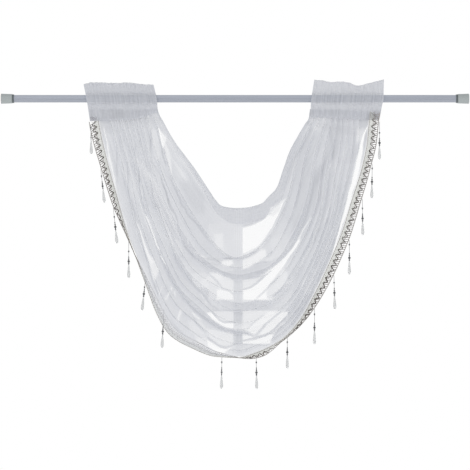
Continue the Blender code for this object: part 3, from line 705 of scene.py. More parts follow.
# Creases, where the gathers press together: closeness added, which also darkens the voile's colour as
# painted shade, then x, z and half width along each
CREASES = (
    (1.6, (322, -61, 1.3,  321, -110, 1.5,  325, -138, 1.7,  333, -149, 1.9,  342, -164, 1.7,
        346, -181, 1.7,  353, -196, 1.9,  359, -218, 2.1,  363, -235, 1.9,  372, -246, 1.3)),
    (1.6, (336, -61, 1.1,  340, -82, 1.3,  345, -106, 1.3,  348, -125, 1.3,  354, -143, 1.1)),
    (1.6, (272, -132, 1.1,  273, -181, 1.5,  276, -209, 1.5,  282, -229, 1.7,  287, -246, 1.5,
        290, -267, 1.1)),
    (1.4, (295, -143, 1.1,  297, -175, 1.7,  298, -201, 1.9,  302, -220, 2.1,  307, -237, 1.9,
        313, -254, 1.3)),
    (1.2, (249, -106, 1.3,  249, -153, 1.5,  251, -183, 0.9)),
    (0.9, (288, -95, 1.3,  289, -143, 0.9)),
    (1.8, (320, -175, 1.1,  324, -192, 1.5,  326, -211, 1.7,  331, -226, 1.7,  339, -237, 1.5,
        343, -250, 1.5,  349, -265, 1.5,  354, -280, 1.3,  360, -295, 1.1,  366, -310, 1.5,
        369, -325, 1.7,  374, -340, 1.7,  382, -353, 1.9,  390, -367, 2.6,  400, -380, 3,  408, -392, 3,
        418, -405, 2.4,  429, -416, 2.1,  439, -426, 2.1,  446, -437, 1.9,  454, -446, 2.1,
        464, -451, 1.9)),
    (1.8, (344, -170, 0.9,  350, -188, 1.5,  356, -203, 1.5,  360, -220, 1.5,  366, -233, 1.5,
        374, -246, 1.5,  379, -261, 1.5,  381, -278, 1.3,  387, -299, 1.3,  393, -315, 2.1,
        402, -327, 2.8,  413, -338, 3,  424, -346, 2.6,  434, -353, 2.1,  447, -362, 1.9,
        462, -367, 1.9,  473, -372, 1.9,  482, -379, 2.1)),
    (1.5, (366, -175, 0.9,  372, -190, 1.3,  378, -203, 1.7,  384, -216, 1.7,  388, -229, 1.9,
        396, -237, 1.9,  400, -248, 1.9,  410, -259, 2.1,  419, -267, 1.7,  430, -284, 1.7,
        441, -299, 1.7,  452, -311, 1.5,  462, -323, 1.9,  473, -333, 2.1,  479, -338, 1.7)),
    (1.8, (311, -256, 0.9,  318, -274, 1.3,  325, -293, 1.1,  331, -310, 1.1,  336, -325, 1.3,
        341, -338, 1.3,  346, -351, 1.9,  355, -367, 2.4,  363, -383, 3.2,  373, -401, 3.4,
        383, -413, 3.2,  393, -428, 3.4,  403, -439, 3.2,  413, -452, 3.4,  424, -460, 3.9,
        434, -469, 4.1,  445, -477, 3.7,  456, -483, 4.1,  467, -490, 3.9,  477, -495, 3.2,
        490, -498, 2.8,  505, -501, 3.2,  520, -502, 2.8,  531, -505, 2.4,  542, -510, 1.7)),
    (2.2, (290, -269, 0.9,  297, -284, 1.1,  302, -304, 1.3,  307, -325, 1.3,  313, -345, 1.5,
        318, -360, 1.5,  322, -377, 1.5,  327, -394, 1.7,  333, -409, 1.9,  339, -424, 1.5)),
    (1.2, (348, -390, 1.1,  355, -401, 1.3,  361, -411, 1.3,  370, -424, 1.3)),
    (1.8, (454, -454, 1.3,  475, -455, 1.3,  520, -455, 1.3)),
    (1.6, (452, -455, 0.9,  460, -465, 1.5,  469, -476, 1.5,  479, -480, 1.5,  501, -479, 1.3)),
    (2.8, (479, -343, 1.1,  501, -344, 1.3,  520, -343, 1.3,  533, -338, 1.5,  546, -330, 1.7,
        553, -323, 1.3)),
    (1.1, (520, -333, 0.9,  535, -327, 0.9,  547, -321, 0.9)),
    (1.6, (519, -339, 0.9,  531, -335, 1.1,  544, -329, 1.1)),
    (1.1, (432, -351, 0.9,  449, -354, 0.9,  469, -358, 0.9)),
    (1.2, (439, -342, 1.1,  454, -346, 1.1,  469, -347, 0.9)),
    (1.6, (519, -369, 1.3,  533, -364, 1.5,  546, -356, 1.7,  561, -350, 1.7,  570, -351, 1.3)),
    (2.2, (520, -410, 1.1,  535, -406, 1.7,  548, -397, 1.9,  561, -387, 1.9,  568, -380, 1.5,
        580, -370, 0.9)),
    (2.4, (547, -432, 1.3,  557, -422, 1.7,  570, -410, 1.9,  580, -398, 1.9,  589, -390, 1.9,
        598, -380, 1.5)),
    (2, (585, -424, 1.9,  596, -416, 1.9,  604, -407, 1.9,  611, -396, 1.9,  615, -388, 1.7,
        624, -373, 1.5,  634, -358, 1.5,  643, -345, 1.7,  651, -332, 1.7,  660, -317, 1.5,
        666, -302, 1.3,  671, -284, 1.1)),
    (1.7, (443, -373, 1.5,  452, -381, 2.1,  462, -390, 2.4,  469, -398, 1.9,  477, -408, 1.9,
        490, -412, 1.7,  499, -420, 1.7)),
    (1.5, (529, -495, 1.3,  540, -484, 1.7,  550, -475, 1.7,  563, -465, 1.5)),
    (2.6, (548, -507, 1.7,  561, -493, 1.7,  570, -482, 1.7,  583, -472, 1.7,  593, -463, 1.7,
        602, -457, 1.3)),
    (2.8, (520, -519, 1.3,  535, -516, 1.7,  550, -512, 1.9,  565, -509, 1.9,  578, -502, 1.9,
        589, -493, 1.9,  600, -481, 1.7,  611, -470, 1.7,  619, -461, 1.3)),
    (1.6, (520, -527, 1.1,  548, -529, 1.1,  570, -530, 1.3,  578, -527, 1.3,  585, -513, 1.7,
        593, -501, 1.5,  604, -487, 1.3)),
    (1.5, (445, -513, 1.5,  456, -521, 1.5,  469, -530, 1.5,  482, -533, 1.7,  492, -532, 1.5,
        501, -528, 1.3)),
    (1.3, (413, -471, 1.7,  421, -482, 3,  432, -495, 3,  439, -504, 1.5)),
    (1.8, (366, -478, 1.7,  378, -492, 2.6,  391, -505, 2.8,  404, -518, 2.8,  417, -528, 2.4,
        434, -534, 1.9,  454, -540, 1.7,  473, -551, 1.5)),
    (1, (688, -201, 1.3,  687, -224, 1.5,  685, -248, 1.3)),
    (0.9, (707, -63, 3.2,  714, -110, 4.3,  714, -143, 2.6)),
    (0.6, (744, -63, 2.1,  748, -89, 2.6,  744, -110, 1.7)),
    (0.9, (613, -218, 1.7,  598, -226, 1.7,  585, -235, 1.7,  574, -249, 1.7,  561, -261, 1.7,
        544, -268, 1.7,  520, -275, 1.5)),
    (0.8, (344, -35, 1.1,  376, -95, 1.3,  426, -177, 1.3,  447, -201, 1.5,  467, -230, 1.7,
        492, -237, 1.3,  516, -239, 1.3,  548, -236, 1.3,  563, -220, 1.3,  578, -204, 1.1)),
)
# Slits, where the gathers part and less cloth shows: closeness left, then x, z and half width
SLITS = (
    (0.3, (339, -64, 1.1,  344, -82, 1.7,  349, -106, 1.1)),
    (1.7, (353, -97, 1.7,  358, -115, 5.2,  362, -134, 4.3,  367, -164, 1.3)),
    (0.7, (220, -63, 1.5,  228, -93, 1.7,  233, -127, 1.9,  239, -149, 1.9,  244, -175, 1.9,
        250, -213, 1.9,  257, -233, 1.9,  263, -252, 1.7,  269, -269, 2.1,  272, -287, 1.7)),
    (0.9, (292, -268, 1.1,  299, -282, 1.7,  304, -299, 2.1,  310, -317, 2.6,  317, -336, 3.4,
        325, -351, 4.3)),
    (0.9, (312, -252, 1.3,  318, -266, 1.7,  324, -282, 1.7,  330, -299, 1.9,  335, -315, 1.9,
        340, -324, 1.7)),
    (1.3, (344, -338, 1.5,  349, -347, 1.7,  354, -356, 1.3)),
    (2.2, (342, -239, 1.1,  348, -256, 1.5,  355, -274, 1.7,  361, -287, 2.1,  366, -304, 2.1,
        370, -319, 1.5)),
    (3, (278, -179, 2.6,  282, -201, 3.2,  286, -218, 1.9)),
    (2.6, (300, -179, 1.3,  302, -196, 1.9,  304, -211, 1.7)),
    (2.7, (376, -304, 2.6,  384, -317, 4.3,  389, -327, 2.1)),
    (2.2, (401, -302, 1.3,  403, -315, 1.5)),
    (1.6, (417, -329, 0.9,  430, -338, 1.5,  443, -342, 1.1)),
    (2.6, (370, -175, 1.1,  374, -183, 1.3)),
    (2.2, (352, -396, 1.1,  344, -410, 1.9,  339, -424, 1.5)),
    (1, (362, -416, 1.3,  354, -431, 2.1)),
    (1, (367, -406, 1.7,  367, -410, 1.7)),
    (1.3, (374, -416, 1.5,  374, -422, 1.3)),
    (2, (336, -405, 1.3,  339, -416, 1.5)),
    (1.2, (386, -456, 3,  383, -467, 3.9,  381, -476, 2.1)),
    (1.2, (411, -459, 1.7,  418, -467, 2.4,  428, -474, 1.7)),
    (1.3, (301, -362, 1.1,  307, -374, 1.3,  313, -388, 1.1)),
    (1.6, (665, -256, 0.9,  658, -269, 1.3,  649, -282, 1.7,  643, -295, 2.1,  640, -301, 3)),
    (2.6, (677, -282, 1.1,  673, -297, 1.5,  669, -312, 1.7,  662, -325, 2.6,  657, -336, 2.8,
        649, -349, 2.6,  644, -360, 2.1)),
    (3.3, (714, -196, 1.5,  711, -218, 1.7,  704, -237, 1.5,  699, -252, 1.7,  694, -267, 1.5)),
    (3.4, (693, -198, 1.7,  691, -218, 1.9,  689, -235, 1.3,  688, -256, 1.3,  682, -274, 1.9,
        677, -284, 1.3)),
    (2.6, (737, -112, 1.3,  736, -119, 1.1)),
    (3.6, (718, -132, 1.3,  719, -164, 1.5)),
    (0.25, (787, -62, 1.7,  780, -78, 2.6,  775, -97, 3.9,  773, -115, 5.6,  769, -132, 6.4,
        766, -149, 6.9,  762, -166, 7.3,  758, -183, 6.4,  751, -201, 5.6,  748, -218, 5.6,
        743, -235, 4.7,  738, -252, 4.1,  732, -269, 3.2,  728, -284, 2.6,  722, -302, 2.1,
        717, -319, 1.9,  712, -336, 1.5)),
    (1.9, (430, -420, 1.3,  436, -428, 1.7)),
    (2, (440, -437, 2.6,  443, -440, 1.7)),
    (2.6, (656, -379, 1.1,  651, -392, 1.5,  647, -403, 1.1)),
    (2.6, (677, -394, 1.1,  675, -411, 1.7)),
)
# The felled seam down the middle: its closeness by height
SEAM_X, SEAM_HALF = 510.0, 9.0
SEAM_AT = (-560, -528, -524, -502, -496, -482, -478, -460, -454, -436, -432, -390, -384, -370,
           -364, -344, -338, -275, -270, -230)
SEAM = (3.2, 3.2, 5.0, 5.0, 2.7, 2.7, 4.8, 4.8, 3.9, 3.9, 3.4, 3.4, 4.4, 4.4,
        3.6, 3.6, 2.8, 2.8, 4.0, 4.0)


def near_line(x, z, line):
    """How deep inside a tapering line each place lies: 1 on it, 0 at its edge and beyond."""
    best = np.full(x.shape, 9.0)
    rows = np.array(line, float).reshape(-1, 3)
    for (ax, az, aw), (bx, bz, bw) in zip(rows[:-1], rows[1:]):
        dx, dz = bx - ax, bz - az
        t = np.clip(((x - ax) * dx + (z - az) * dz) / (dx * dx + dz * dz), 0, 1)
        far = np.hypot(x - ax - dx * t, z - az - dz * t)
        best = np.minimum(best, far / (aw + (bw - aw) * t))
    return 1 - ease(0.45, 1.35, best)


def in_patch(x, z, corners, soft):
    """1 inside the corners, 0 outside, over a soft edge."""
    far = np.full(x.shape, 1e9)
    inside = np.zeros(x.shape, bool)
    rows = np.array(corners, float).reshape(-1, 2)
    for (ax, az), (bx, bz) in zip(rows, np.roll(rows, -1, axis=0)):
        dx, dz = bx - ax, bz - az
        t = np.clip(((x - ax) * dx + (z - az) * dz) / (dx * dx + dz * dz), 0, 1)
        far = np.minimum(far, np.hypot(x - ax - dx * t, z - az - dz * t))
        if dz:
            inside ^= ((az > z) != (bz > z)) & (x < ax + (z - az) * dx / dz)
    return ease(-soft, soft, np.where(inside, far, -far))


def streaks(us, seed):
    """Fine gathers as lines in the swag's plane: points with half width, and a strength."""
    draw = np.random.default_rng(seed)
    lines = []
    for k in range(STREAKS):
        left = k % 2 == 0
        start = draw.uniform(0.05, 0.16)
        end = start + draw.uniform(0.06, 0.26)
        across = draw.uniform(0.04, 0.97)
        drift = draw.uniform(-0.06, 0.06)
        width = draw.choice(STREAK_WIDTHS) * draw.uniform(0.8, 1.2)
        strength = draw.choice((-1.0, 1.0)) * draw.uniform(0.3, 1.0) * (1.0 if left else 0.6)
        line = []
        for t in np.linspace(0, 1, 8):
            u = start + (end - start) * t
            u = u if left else 1 - u
            upper, lower, _ = edges(u)
            place = upper + (lower - upper) * np.clip(across + drift * t, 0.02, 0.98)
            line.append((place[0], place[1], width * (0.3 + 0.8 * math.sin(math.pi * t))))
        lines.append((line, strength))
    return lines


def layers(net, us):
    """How many layers of the cloth lie one behind another at each point, seen from the front."""
    count = np.zeros(net.shape[:2])
    for i, u in enumerate(us):
        upper, lower, _ = edges(float(u))
        span = (lower - upper) / np.hypot(*(lower - upper))
        w = (net[i, :, 0] - upper[0]) * span[0] + (net[i, :, 2] - upper[1]) * span[1]
        low, high = np.minimum(w[:-1], w[1:]), np.maximum(w[:-1], w[1:])
        for shift in LAYER_STEPS:
            at = (w + shift)[:, None]
            count[i] += ((at >= low) & (at < high)).sum(axis=1) / len(LAYER_STEPS)
    return np.maximum(count, 1.0)


def gathers(x, z, us):
    """How close the cloth lies at each place, all layers together, and how far it swells."""
    close = np.repeat(curve(CLOSENESS_AT, CLOSENESS, us)[:, None], x.shape[1], axis=1)
    swell = np.zeros_like(close)
    wanders = np.ones_like(close)
    for line, strength in streaks(us, 11):
        inside = near_line(x, z, line)
        wanders += STREAK_DEPTH * strength * inside
        swell += SWELL_STREAK * strength * inside
    for value, soft, corners in PATCHES:
        inside = in_patch(x, z, corners, soft)
        close = close * (1 - inside) + value * inside
        wanders = wanders * (1 - 0.7 * inside) + 0.7 * inside
    close *= np.clip(wanders, 0.45, 1.9)
    top = np.array([edges(float(u))[0] for u in us])
    inn = np.hypot(x - top[:, :1], z - top[:, 1:])
    close += TOP_HEM * (1 - middle(us))[:, None] * ease(5.5, 3.0, inn)
    seam = ease(SEAM_HALF + 0.9, SEAM_HALF - 0.9, np.abs(x - SEAM_X))
    stitched = 1 + 0.12 * np.sin(2 * math.pi * (x - SEAM_X) / 4.5)
    close = close * (1 - seam) + np.interp(z, SEAM_AT, SEAM) * stitched * seam
    for value, line in CREASES:
        inside = near_line(x, z, line)
        close += value * inside
        swell += SWELL_CREASE * inside
    for value, line in SLITS:
        inside = near_line(x, z, line)
        close = close * (1 - inside) + np.minimum(close, value) * inside
        swell += SWELL_SLIT * inside
    return close, swell


def one_layer(close, points, us, left):
    """The closeness of a single layer. left is the way along the cloth to its lower edge."""
    shown = LAYER_SHARE_AT_LEG + (LAYER_SHARE - LAYER_SHARE_AT_LEG) * middle(us)
    close = close / layers(points, us) ** shown[:, None]
    step = np.abs(np.gradient(points, axis=1))
    flat = np.hypot(step[..., 0], step[..., 2])
    facing = flat / np.maximum(flat + step[..., 1], 1e-6)
    close *= EDGE_ON + (1 - EDGE_ON) * ease(0.0, 0.42, facing)
    # where the braid is turned behind it, the cloth of the edge lies single
    turn = np.array([float(edges(float(u))[2]) for u in us])
    close *= 1 - ROLLED * ease(1.5, 2.2, turn)[:, None] * ease(34.0, 20.0, left)
    under = ease(11.5, 8.5, left) * (1 - ease(1.3, 1.9, turn))[:, None]
    edge = UNDER_BRAID + UNDER_SLANT * ease(0.35, 0.9, turn)[:, None]
    return close * (1 - under) + edge * under


def swag_cloth(mat):
    us = even_steps(PANEL_U)
    us[0], us[-1] = 0.0, 1.0
    points = even_cuts(rounded(np.array([panel_section(float(u)) for u in us]), 1), PANEL_V)
    nu, nv, _ = points.shape
    close, swell = gathers(points[..., 0], points[..., 2], us)
    out = lengths(points, 1)
    left = out[:, -1:] - out
    close = one_layer(close, points, us, left)
    # free cloth only: behind the bands and under the braid it lies still
    still = 1 - np.clip(end_share(us), 0, 1)[:, None]
    points[..., 1] += swell * still * ease(9.0, 14.0, left) * ease(0.0, 3.0, out)
    width = lengths(points[:, nv // 2][None], 1)[0]
    uv = np.stack((np.repeat(width[:, None], nv, axis=1), lengths(points, 1)), axis=-1) * MM
    return make("swag_cloth", points.reshape(-1, 3), quads(nu, nv), [mat],
                uv=uv.reshape(-1, 2), marks={"close": close})


# ---- The gathered headings ----
HEADING_U, SLEEVE_V = 380, 56
HEADING_CLOSE = (3.05, 2.4)          # of the left and the right one
HEADING_SEED = 21
HEADING_FULLNESS = 2.2               # cloth for each mm of a heading's gathered length, for its weave
PINCHES = ((12, 5, 1.0), (-13, 5, 1.0), (-27, 5, 1.0))    # height, half width, strength


def smooth_noise(draw, count, period):
    """A smooth random row of values from -1 to 1, with a feature about every period steps."""
    knots = draw.uniform(-1, 1, int(count / period) + 4)
    at = np.linspace(0, len(knots) - 1.001, count)
    i = at.astype(int)
    t = at - i
    t = t * t * (3 - 2 * t)
    return knots[i] * (1 - t) + knots[i + 1] * t


def heading_span(row, z):
    """Where a heading starts and ends along the rod, at a height."""
    far = row.top_x if z > 0 else row.low_x
    share = z / FRILL_HEIGHT if z > 0 else -z / BAND_DEPTH
    return [near + (end - near) * share for near, end in zip(row.rod_x, far)]


def sleeve_heights(top, low):
    """Heights of the sleeve's section, from the frill's top to the band's lower edge."""
    frill, pocket, band = SLEEVE[:4], SLEEVE[4:7], SLEEVE[7:]
    return np.array([POCKET_TOP + (top - POCKET_TOP) * share for share, _, _ in frill]
                    + [height for height, _, _ in pocket]
                    + [POCKET_BOTTOM + (low - POCKET_BOTTOM) * share for share, _, _ in band])


def pinched(z, low):
    """How strongly the stitches draw the gathers in, at each height."""
    pull = 0.8 * np.exp(-((z - low) / 4) ** 2)
    for height, half, strength in PINCHES:
        pull += strength * np.exp(-((z - height) / half) ** 2)
    return np.minimum(pull, 1)


def heading_cloth(row, mat, seed, close_at):
    """A heading's tube and frill. close_at is how closely its gathers lie, for each layer."""
    draw = np.random.default_rng(seed)
    n = HEADING_U
    steps = np.linspace(0, 1, n)
    places = np.linspace(0, 1, len(row.frill))
    top = curve(places, row.frill, steps) + 0.5 * smooth_noise(draw, n, 9)
    low = curve(places, row.band, steps) + 0.5 * smooth_noise(draw, n, 8)
    ripple = np.sin(2 * math.pi * GATHERS * steps + 1.1 * np.sin(5.3 * steps))
    ripple *= 0.8 + 0.2 * np.cos(9 * steps)
    fine = 0.6 * smooth_noise(draw, n, 5) + 0.5 * smooth_noise(draw, n, 11)
    pleat = 0.55 * smooth_noise(draw, n, 4) + 0.6 * smooth_noise(draw, n, 9)
    frilled = 0.5 * smooth_noise(draw, n, 7) + 0.5 * smooth_noise(draw, n, 16)
    down = np.linspace(0, 1, SLEEVE_V)
    net = np.zeros((n, 2 * SLEEVE_V, 3))
    close = np.zeros((n, 2 * SLEEVE_V))
    for i, s in enumerate(steps):
        heights = sleeve_heights(top[i], low[i])
        z = heights[0] + (heights[-1] - heights[0]) * down
        half, swing = (curve(-heights, [r[k] for r in SLEEVE], -z) for k in (1, 2))
        frill = np.clip((z - POCKET_TOP) / (top[i] - POCKET_TOP), 0, 1)
        amplitude = GATHER_AMPLITUDE + (FRILL_AMPLITUDE - GATHER_AMPLITUDE) * frill
        pinch = pinched(z, low[i])
        wave = ripple[i] * amplitude * swing + 0.45 * fine[i] * pinch
        ends = [heading_span(row, h) for h in z]
        x = np.array([a + (b - a) * s for a, b in ends])
        x += 0.5 * fine[i] * pinch * math.sin(math.pi * s)
        net[i, :SLEEVE_V] = np.stack((x, half - wave, z), axis=-1)[::-1]
        net[i, SLEEVE_V:] = np.stack((x, -half - wave, z), axis=-1)
        # closer in the band, patchy over the rod, and closest along the seams and the hem; where this
        # passes 4.2 the voile also darkens the colour, painted shade of the tight gathers
        band = ease(-20, -26, z) * ease(low[i] + 1, low[i] + 5, z)
        pocket = ease(13, 10, z) * ease(-14, -10, z)
        patchy = 1.6 + 1.5 * math.exp(-((s - row.dark) / 0.24) ** 4)
        amount = close_at + 0.45 * frilled[i] * frill + patchy * band * (1 + 0.9 * pleat[i])
        amount += 0.5 * ease(low[i] + 5, low[i], z) + 0.6 * pinch * (0.4 + 0.8 * fine[i])
        amount += 0.5 * ease(-11, -14, z) * ease(-27, -24, z)
        amount += pocket * (0.3 + 0.9 * pleat[i])
        close[i] = np.concatenate((amount[::-1], amount))
    edge = np.abs(steps - 0.5)[:, None] * 2
    close = np.clip(close * (1 + 0.5 * ease(0.95, 1.0, edge)), 0.5, 9)
    across = lengths(net[:, SLEEVE_V][None], 1)[0] * HEADING_FULLNESS
    across = np.repeat(across[:, None], 2 * SLEEVE_V, axis=1)
    uv = np.stack((across, lengths(net, 1)), axis=-1) * MM
    return make(row.name + "_cloth", net.reshape(-1, 3), quads(n, 2 * SLEEVE_V), [mat],
                uv=uv.reshape(-1, 2), marks={"close": close})


# ---- The braid trim ----
ZIGZAG_PITCH = 13.2
ZIGZAG_AT, ZIGZAG_REACH = 11.2, 4.4          # middle and half width, across the braid
TAPE_WIDE = 9.6
LADDER_PITCH, LADDER_SLANT = 4.6, 3.4
OUTER_AT, OUTER_TWIST = 20.3, 2.1
LATTICE_PITCH, LATTICE_REACH = 4.2, 5.4
EDGE_CORDS = ((0.7, 0.5, 5.6), (TAPE_WIDE, 0.34, 2.3))    # place across, radius, twist
CURLED = (0.552, 0.560, 0.585, 0.600)        # the outer part is curled back here, by u
LOW_RIGHT = (0.60, 0.62, 0.70, 0.73)         # the zigzag shows thickest here, by u
WOUND_RADIUS = 1.8
WOUND_AT, WOUND_REACH = 10.0, 7.5            # middle and half width of the wound ends
Wound = namedtuple("Wound", "end way turns rise run")     # rise and run go along the braid, in mm


class Line:
    """The braid's frames along its length, read by distance in mm."""

    def __init__(self, count=1500):
        self.us = even_steps(count, BRAID_FROM, 1.0)
        rows = [braid_frame(float(u)) for u in self.us]
        self.hinge = np.array([r[0] for r in rows])
        self.across = np.array([r[1] for r in rows])
        self.normal = np.array([r[2] for r in rows])
        self.turn = np.array([float(edges(float(u))[2]) for u in self.us])
        middle_line = self.hinge + self.across * BRAID_WIDTH / 2
        step = np.linalg.norm(np.diff(middle_line, axis=0), axis=1)
        self.gone = np.concatenate(([0.0], np.cumsum(step)))
        self.length = float(self.gone[-1])

    def at(self, s, q, lift=0.0):
        """Points at distances s along, q across and lift off the face."""
        s = np.asarray(s, float)
        q = np.broadcast_to(np.asarray(q, float), s.shape)
        lift = np.broadcast_to(np.asarray(lift, float), s.shape)
        read = [
            np.stack([np.interp(s, self.gone, part[:, k]) for k in range(3)], axis=-1)
            for part in (self.hinge, self.across, self.normal)
        ]
        return read[0] + read[1] * q[..., None] + read[2] * lift[..., None]

    def hidden(self, s):
        """0 where the braid faces the front, 1 where it is turned on edge or behind the cloth."""
        share = 0.85 * ease(1.15, 1.35, self.turn) + 0.15 * ease(1.6, 2.2, self.turn)
        return np.maximum(np.interp(s, self.gone, share), 0.85 * self.share_from(s, CURLED))

    def share_from(self, s, span):
        """1 between the middle two of four places of u, falling to 0 at the outer two."""
        a, b, c, d = span
        return np.interp(s, self.gone, ease(a, b, self.us) * ease(d, c, self.us))


def woven_tape(made, line):
    """The flat tape along the inner edge, with crossing threads and a cord at each side."""
    s = np.arange(0, line.length, 1.5)
    across = np.array([0.0, 0.06, 0.25, 0.5, 0.75, 0.94, 1.0]) * TAPE_WIDE
    lift = np.array([-0.3, 0.0, 0.0, 0.05, 0.0, 0.0, -0.3])
    rows = [line.at(s, q + 0.15 * np.sin(s / 1.7), h) for q, h in zip(across, lift)]
    made.net(np.stack(rows, axis=1), mat=0)
    t = np.linspace(0, 1, 4)
    for k in range(int(line.length / LATTICE_PITCH)):
        at = np.clip(k * LATTICE_PITCH + LATTICE_REACH * t, 0, line.length)
        for share in (t, 1 - t):
            made.tube(line.at(at, 0.8 + (TAPE_WIDE - 1.0) * share, 0.25), 0.24, 4, 1)
    at = np.arange(0, line.length, 0.75)
    for q, r, beat in EDGE_CORDS:
        made.tube(line.at(at, q, 0.1), r * (1 + 0.35 * np.sin(2 * math.pi * at / beat)), 6, 2)


def ladder(made, line, draw):
    """Slanting threads from the tape to the outer cord, with finer ones the other way."""
    t = np.linspace(0, 1, 9)
    wide = 0.72 + 0.5 * np.abs(2 * t - 1) ** 3
    for start in np.arange(LADDER_SLANT, line.length - LADDER_SLANT, LADDER_PITCH):
        place = start + 0.6 * draw.uniform(-1, 1)
        bar = line.at(place + LADDER_SLANT * t, TAPE_WIDE + (OUTER_AT - TAPE_WIDE) * t, 0.0)
        made.tube(bar, wide * (1 - 0.45 * line.hidden(place)), 5, 2)
        made.tube(line.at(place - LADDER_SLANT * t, TAPE_WIDE + 6.2 * t, 0.3), 0.4, 4, 2)
    at = np.arange(0, line.length, 0.7)
    twist = np.sin(2 * math.pi * at / OUTER_TWIST)
    thick = 0.78 * (1 + 0.28 * twist) * (1 - 0.45 * line.hidden(at))
    made.tube(line.at(at, OUTER_AT + 0.2 * twist, 0.0), thick, 6, 2)


def zigzag(made, line, draw):
    """The dark zigzag with a knot at each corner, thinner where the braid is turned away."""
    at = np.arange(0, line.length, 0.6)
    turns = at / ZIGZAG_PITCH + 0.10 * smooth_noise(draw, len(at), 13)
    saw = 2 * np.abs(2 * (turns - np.floor(turns + 0.5))) - 1
    reach = ZIGZAG_REACH * (1 + 0.26 * smooth_noise(draw, len(at), 11))
    q = ZIGZAG_AT + 0.5 * smooth_noise(draw, len(at), 17) + reach * np.sin(saw * math.pi / 2)
    knot = np.abs(saw) ** 6 * (0.8 + 0.7 * smooth_noise(draw, len(at), 10))
    twist = 0.16 * np.sin(2 * math.pi * at / 1.5)
    full = (0.80 + 0.55 * knot + twist) * (1 + 0.3 * line.share_from(at, LOW_RIGHT))
    full *= 0.25 + 0.75 * ease(13, 21, line.length - at)
    made.tube(line.at(at, q, 0.9), full * (1 - 0.75 * line.hidden(at)), 6, 0)


def wound_end(made, line, draw, wound):
    """Pale thread wound loosely across one end of the braid."""
    a = np.linspace(0, 2 * math.pi * wound.turns, 30 * wound.turns)
    share = a / a[-1]
    loose = smooth_noise(draw, len(a), 9)
    middle_at = line.at([wound.end], WOUND_AT)[0]
    along = line.at([wound.end + 5 * wound.way], WOUND_AT)[0] - middle_at
    along = along / np.linalg.norm(along)
    off = line.at([wound.end], WOUND_AT, 1.0)[0] - middle_at
    q = WOUND_AT + WOUND_REACH * np.sin(wound.turns * 2.3 * share - 1.1)
    core = line.at(np.full(len(a), wound.end), q)
    core = core + along * (2.5 * loose - wound.rise + wound.run * share)[:, None]
    ring = along * np.cos(a)[:, None] * 1.5 + off * np.sin(a)[:, None]
    made.tube(core + ring * (WOUND_RADIUS * (1 + 0.3 * loose))[:, None],
              0.32 + 0.08 * np.sin(3 * a), 6, 1)


def braid(mats):
    """The openwork braid as two pieces: its net, and the zigzag with the wound ends."""
    line = Line()
    draw = np.random.default_rng(5)
    net, dark = Build(), Build()
    woven_tape(net, line)
    ladder(net, line, draw)
    netted = net.make("braid_net", [mats["tape"], mats["lattice"], mats["cord"]], "braid")
    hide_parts("braid_trim")
    zigzag(dark, line, draw)
    # the left end is wound over the heading's band, the right one along the last of the braid
    wound_end(dark, line, draw, Wound(0.0, 1.0, 5, 6.0, 0.0))
    wound_end(dark, line, draw, Wound(line.length, -1.0, 6, 0.0, 14.0))
    return netted, dark.make("braid_zigzag", [mats["zigzag"], mats["knot"]], "braid")


# ---- The bead drops ----
STRING_LENGTH = 59.6     # of a string below its thread's free length
BEADS_END = 33.0         # down to here runs the thread, into the long drop


def ball(start, radius, length, steps=9):
    """Outline of a bead from its start: (distance along, radius)."""
    t = np.linspace(0, math.pi, steps)
    return [(start + length * (1 - math.cos(a)) / 2, max(radius * math.sin(a), 0.02)) for a in t]


def pear(start, length, radius, steps=26):
    """Outline of the long drop: slim at the top, fullest below its middle, a soft tip."""
    at = (0.0, 0.06, 0.25, 0.5, 0.72, 0.88, 0.97, 1.0)
    wide = (0.01, 0.42, 0.62, 0.84, 1.0, 0.86, 0.42, 0.01)
    t = np.linspace(0, 1, steps)
    return [(start + length * a, radius * float(r)) for a, r in zip(t, curve(at, wide, t))]


def bead_drop(number, row, mats):
    """A thread from the braid's edge with its beads, small dark ones first, and a long drop."""
    hinge, across, _ = braid_frame(row.u)
    _, _, turn = edges(row.u)
    behind = BEAD_BEHIND * float(ease(1.7, 2.3, turn))
    edge = hinge + across * (BRAID_WIDTH + row.out)
    place = np.array([edge[0], edge[1] + behind - row.ahead, edge[2]])
    unit = np.array([row.lean, 0.0, -(row.thread + STRING_LENGTH)])
    unit /= np.linalg.norm(unit)
    made = Build()
    start = place - (across if row.out > 0 else unit) * 1.2
    top = np.linspace(start, place, 3)[:-1]
    hang = place + unit * np.linspace(0, row.thread + BEADS_END, 10)[:, None]
    made.tube(np.concatenate((top, hang)), 0.5, 5, 0)
    slim = min(1.0, 1.25 * row.bead)
    for down, radius, length, sides, mat in (
        (row.slid + 0.6, 1.75, 3.5, 12, 1), (row.slid + 4.0, 1.2, 2.0, 12, 2),
        (13.0, 1.15 * slim, 4.2, 12, 1), (17.1, 1.5 * slim, 4.6, 12, 1),
        (21.5, 2.75 * row.bead, 5.4, 14, 1), (26.8, 1.65 * row.bead, 4.4, 12, 1),
        (31.1, 1.2, 2.0, 12, 2),
    ):
        made.lathe(ball(row.thread + down, radius, length), place, unit, sides, mat)
    made.lathe(pear(row.thread + 32.4, 27.6, 3.2), place, unit, 14, 2)
    obj = made.make(f"beads_{number:02d}", [mats["thread"], mats["dark"], mats["clear"]], "beads")
    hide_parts(f"bead_drop_{number:02d}")
    return obj


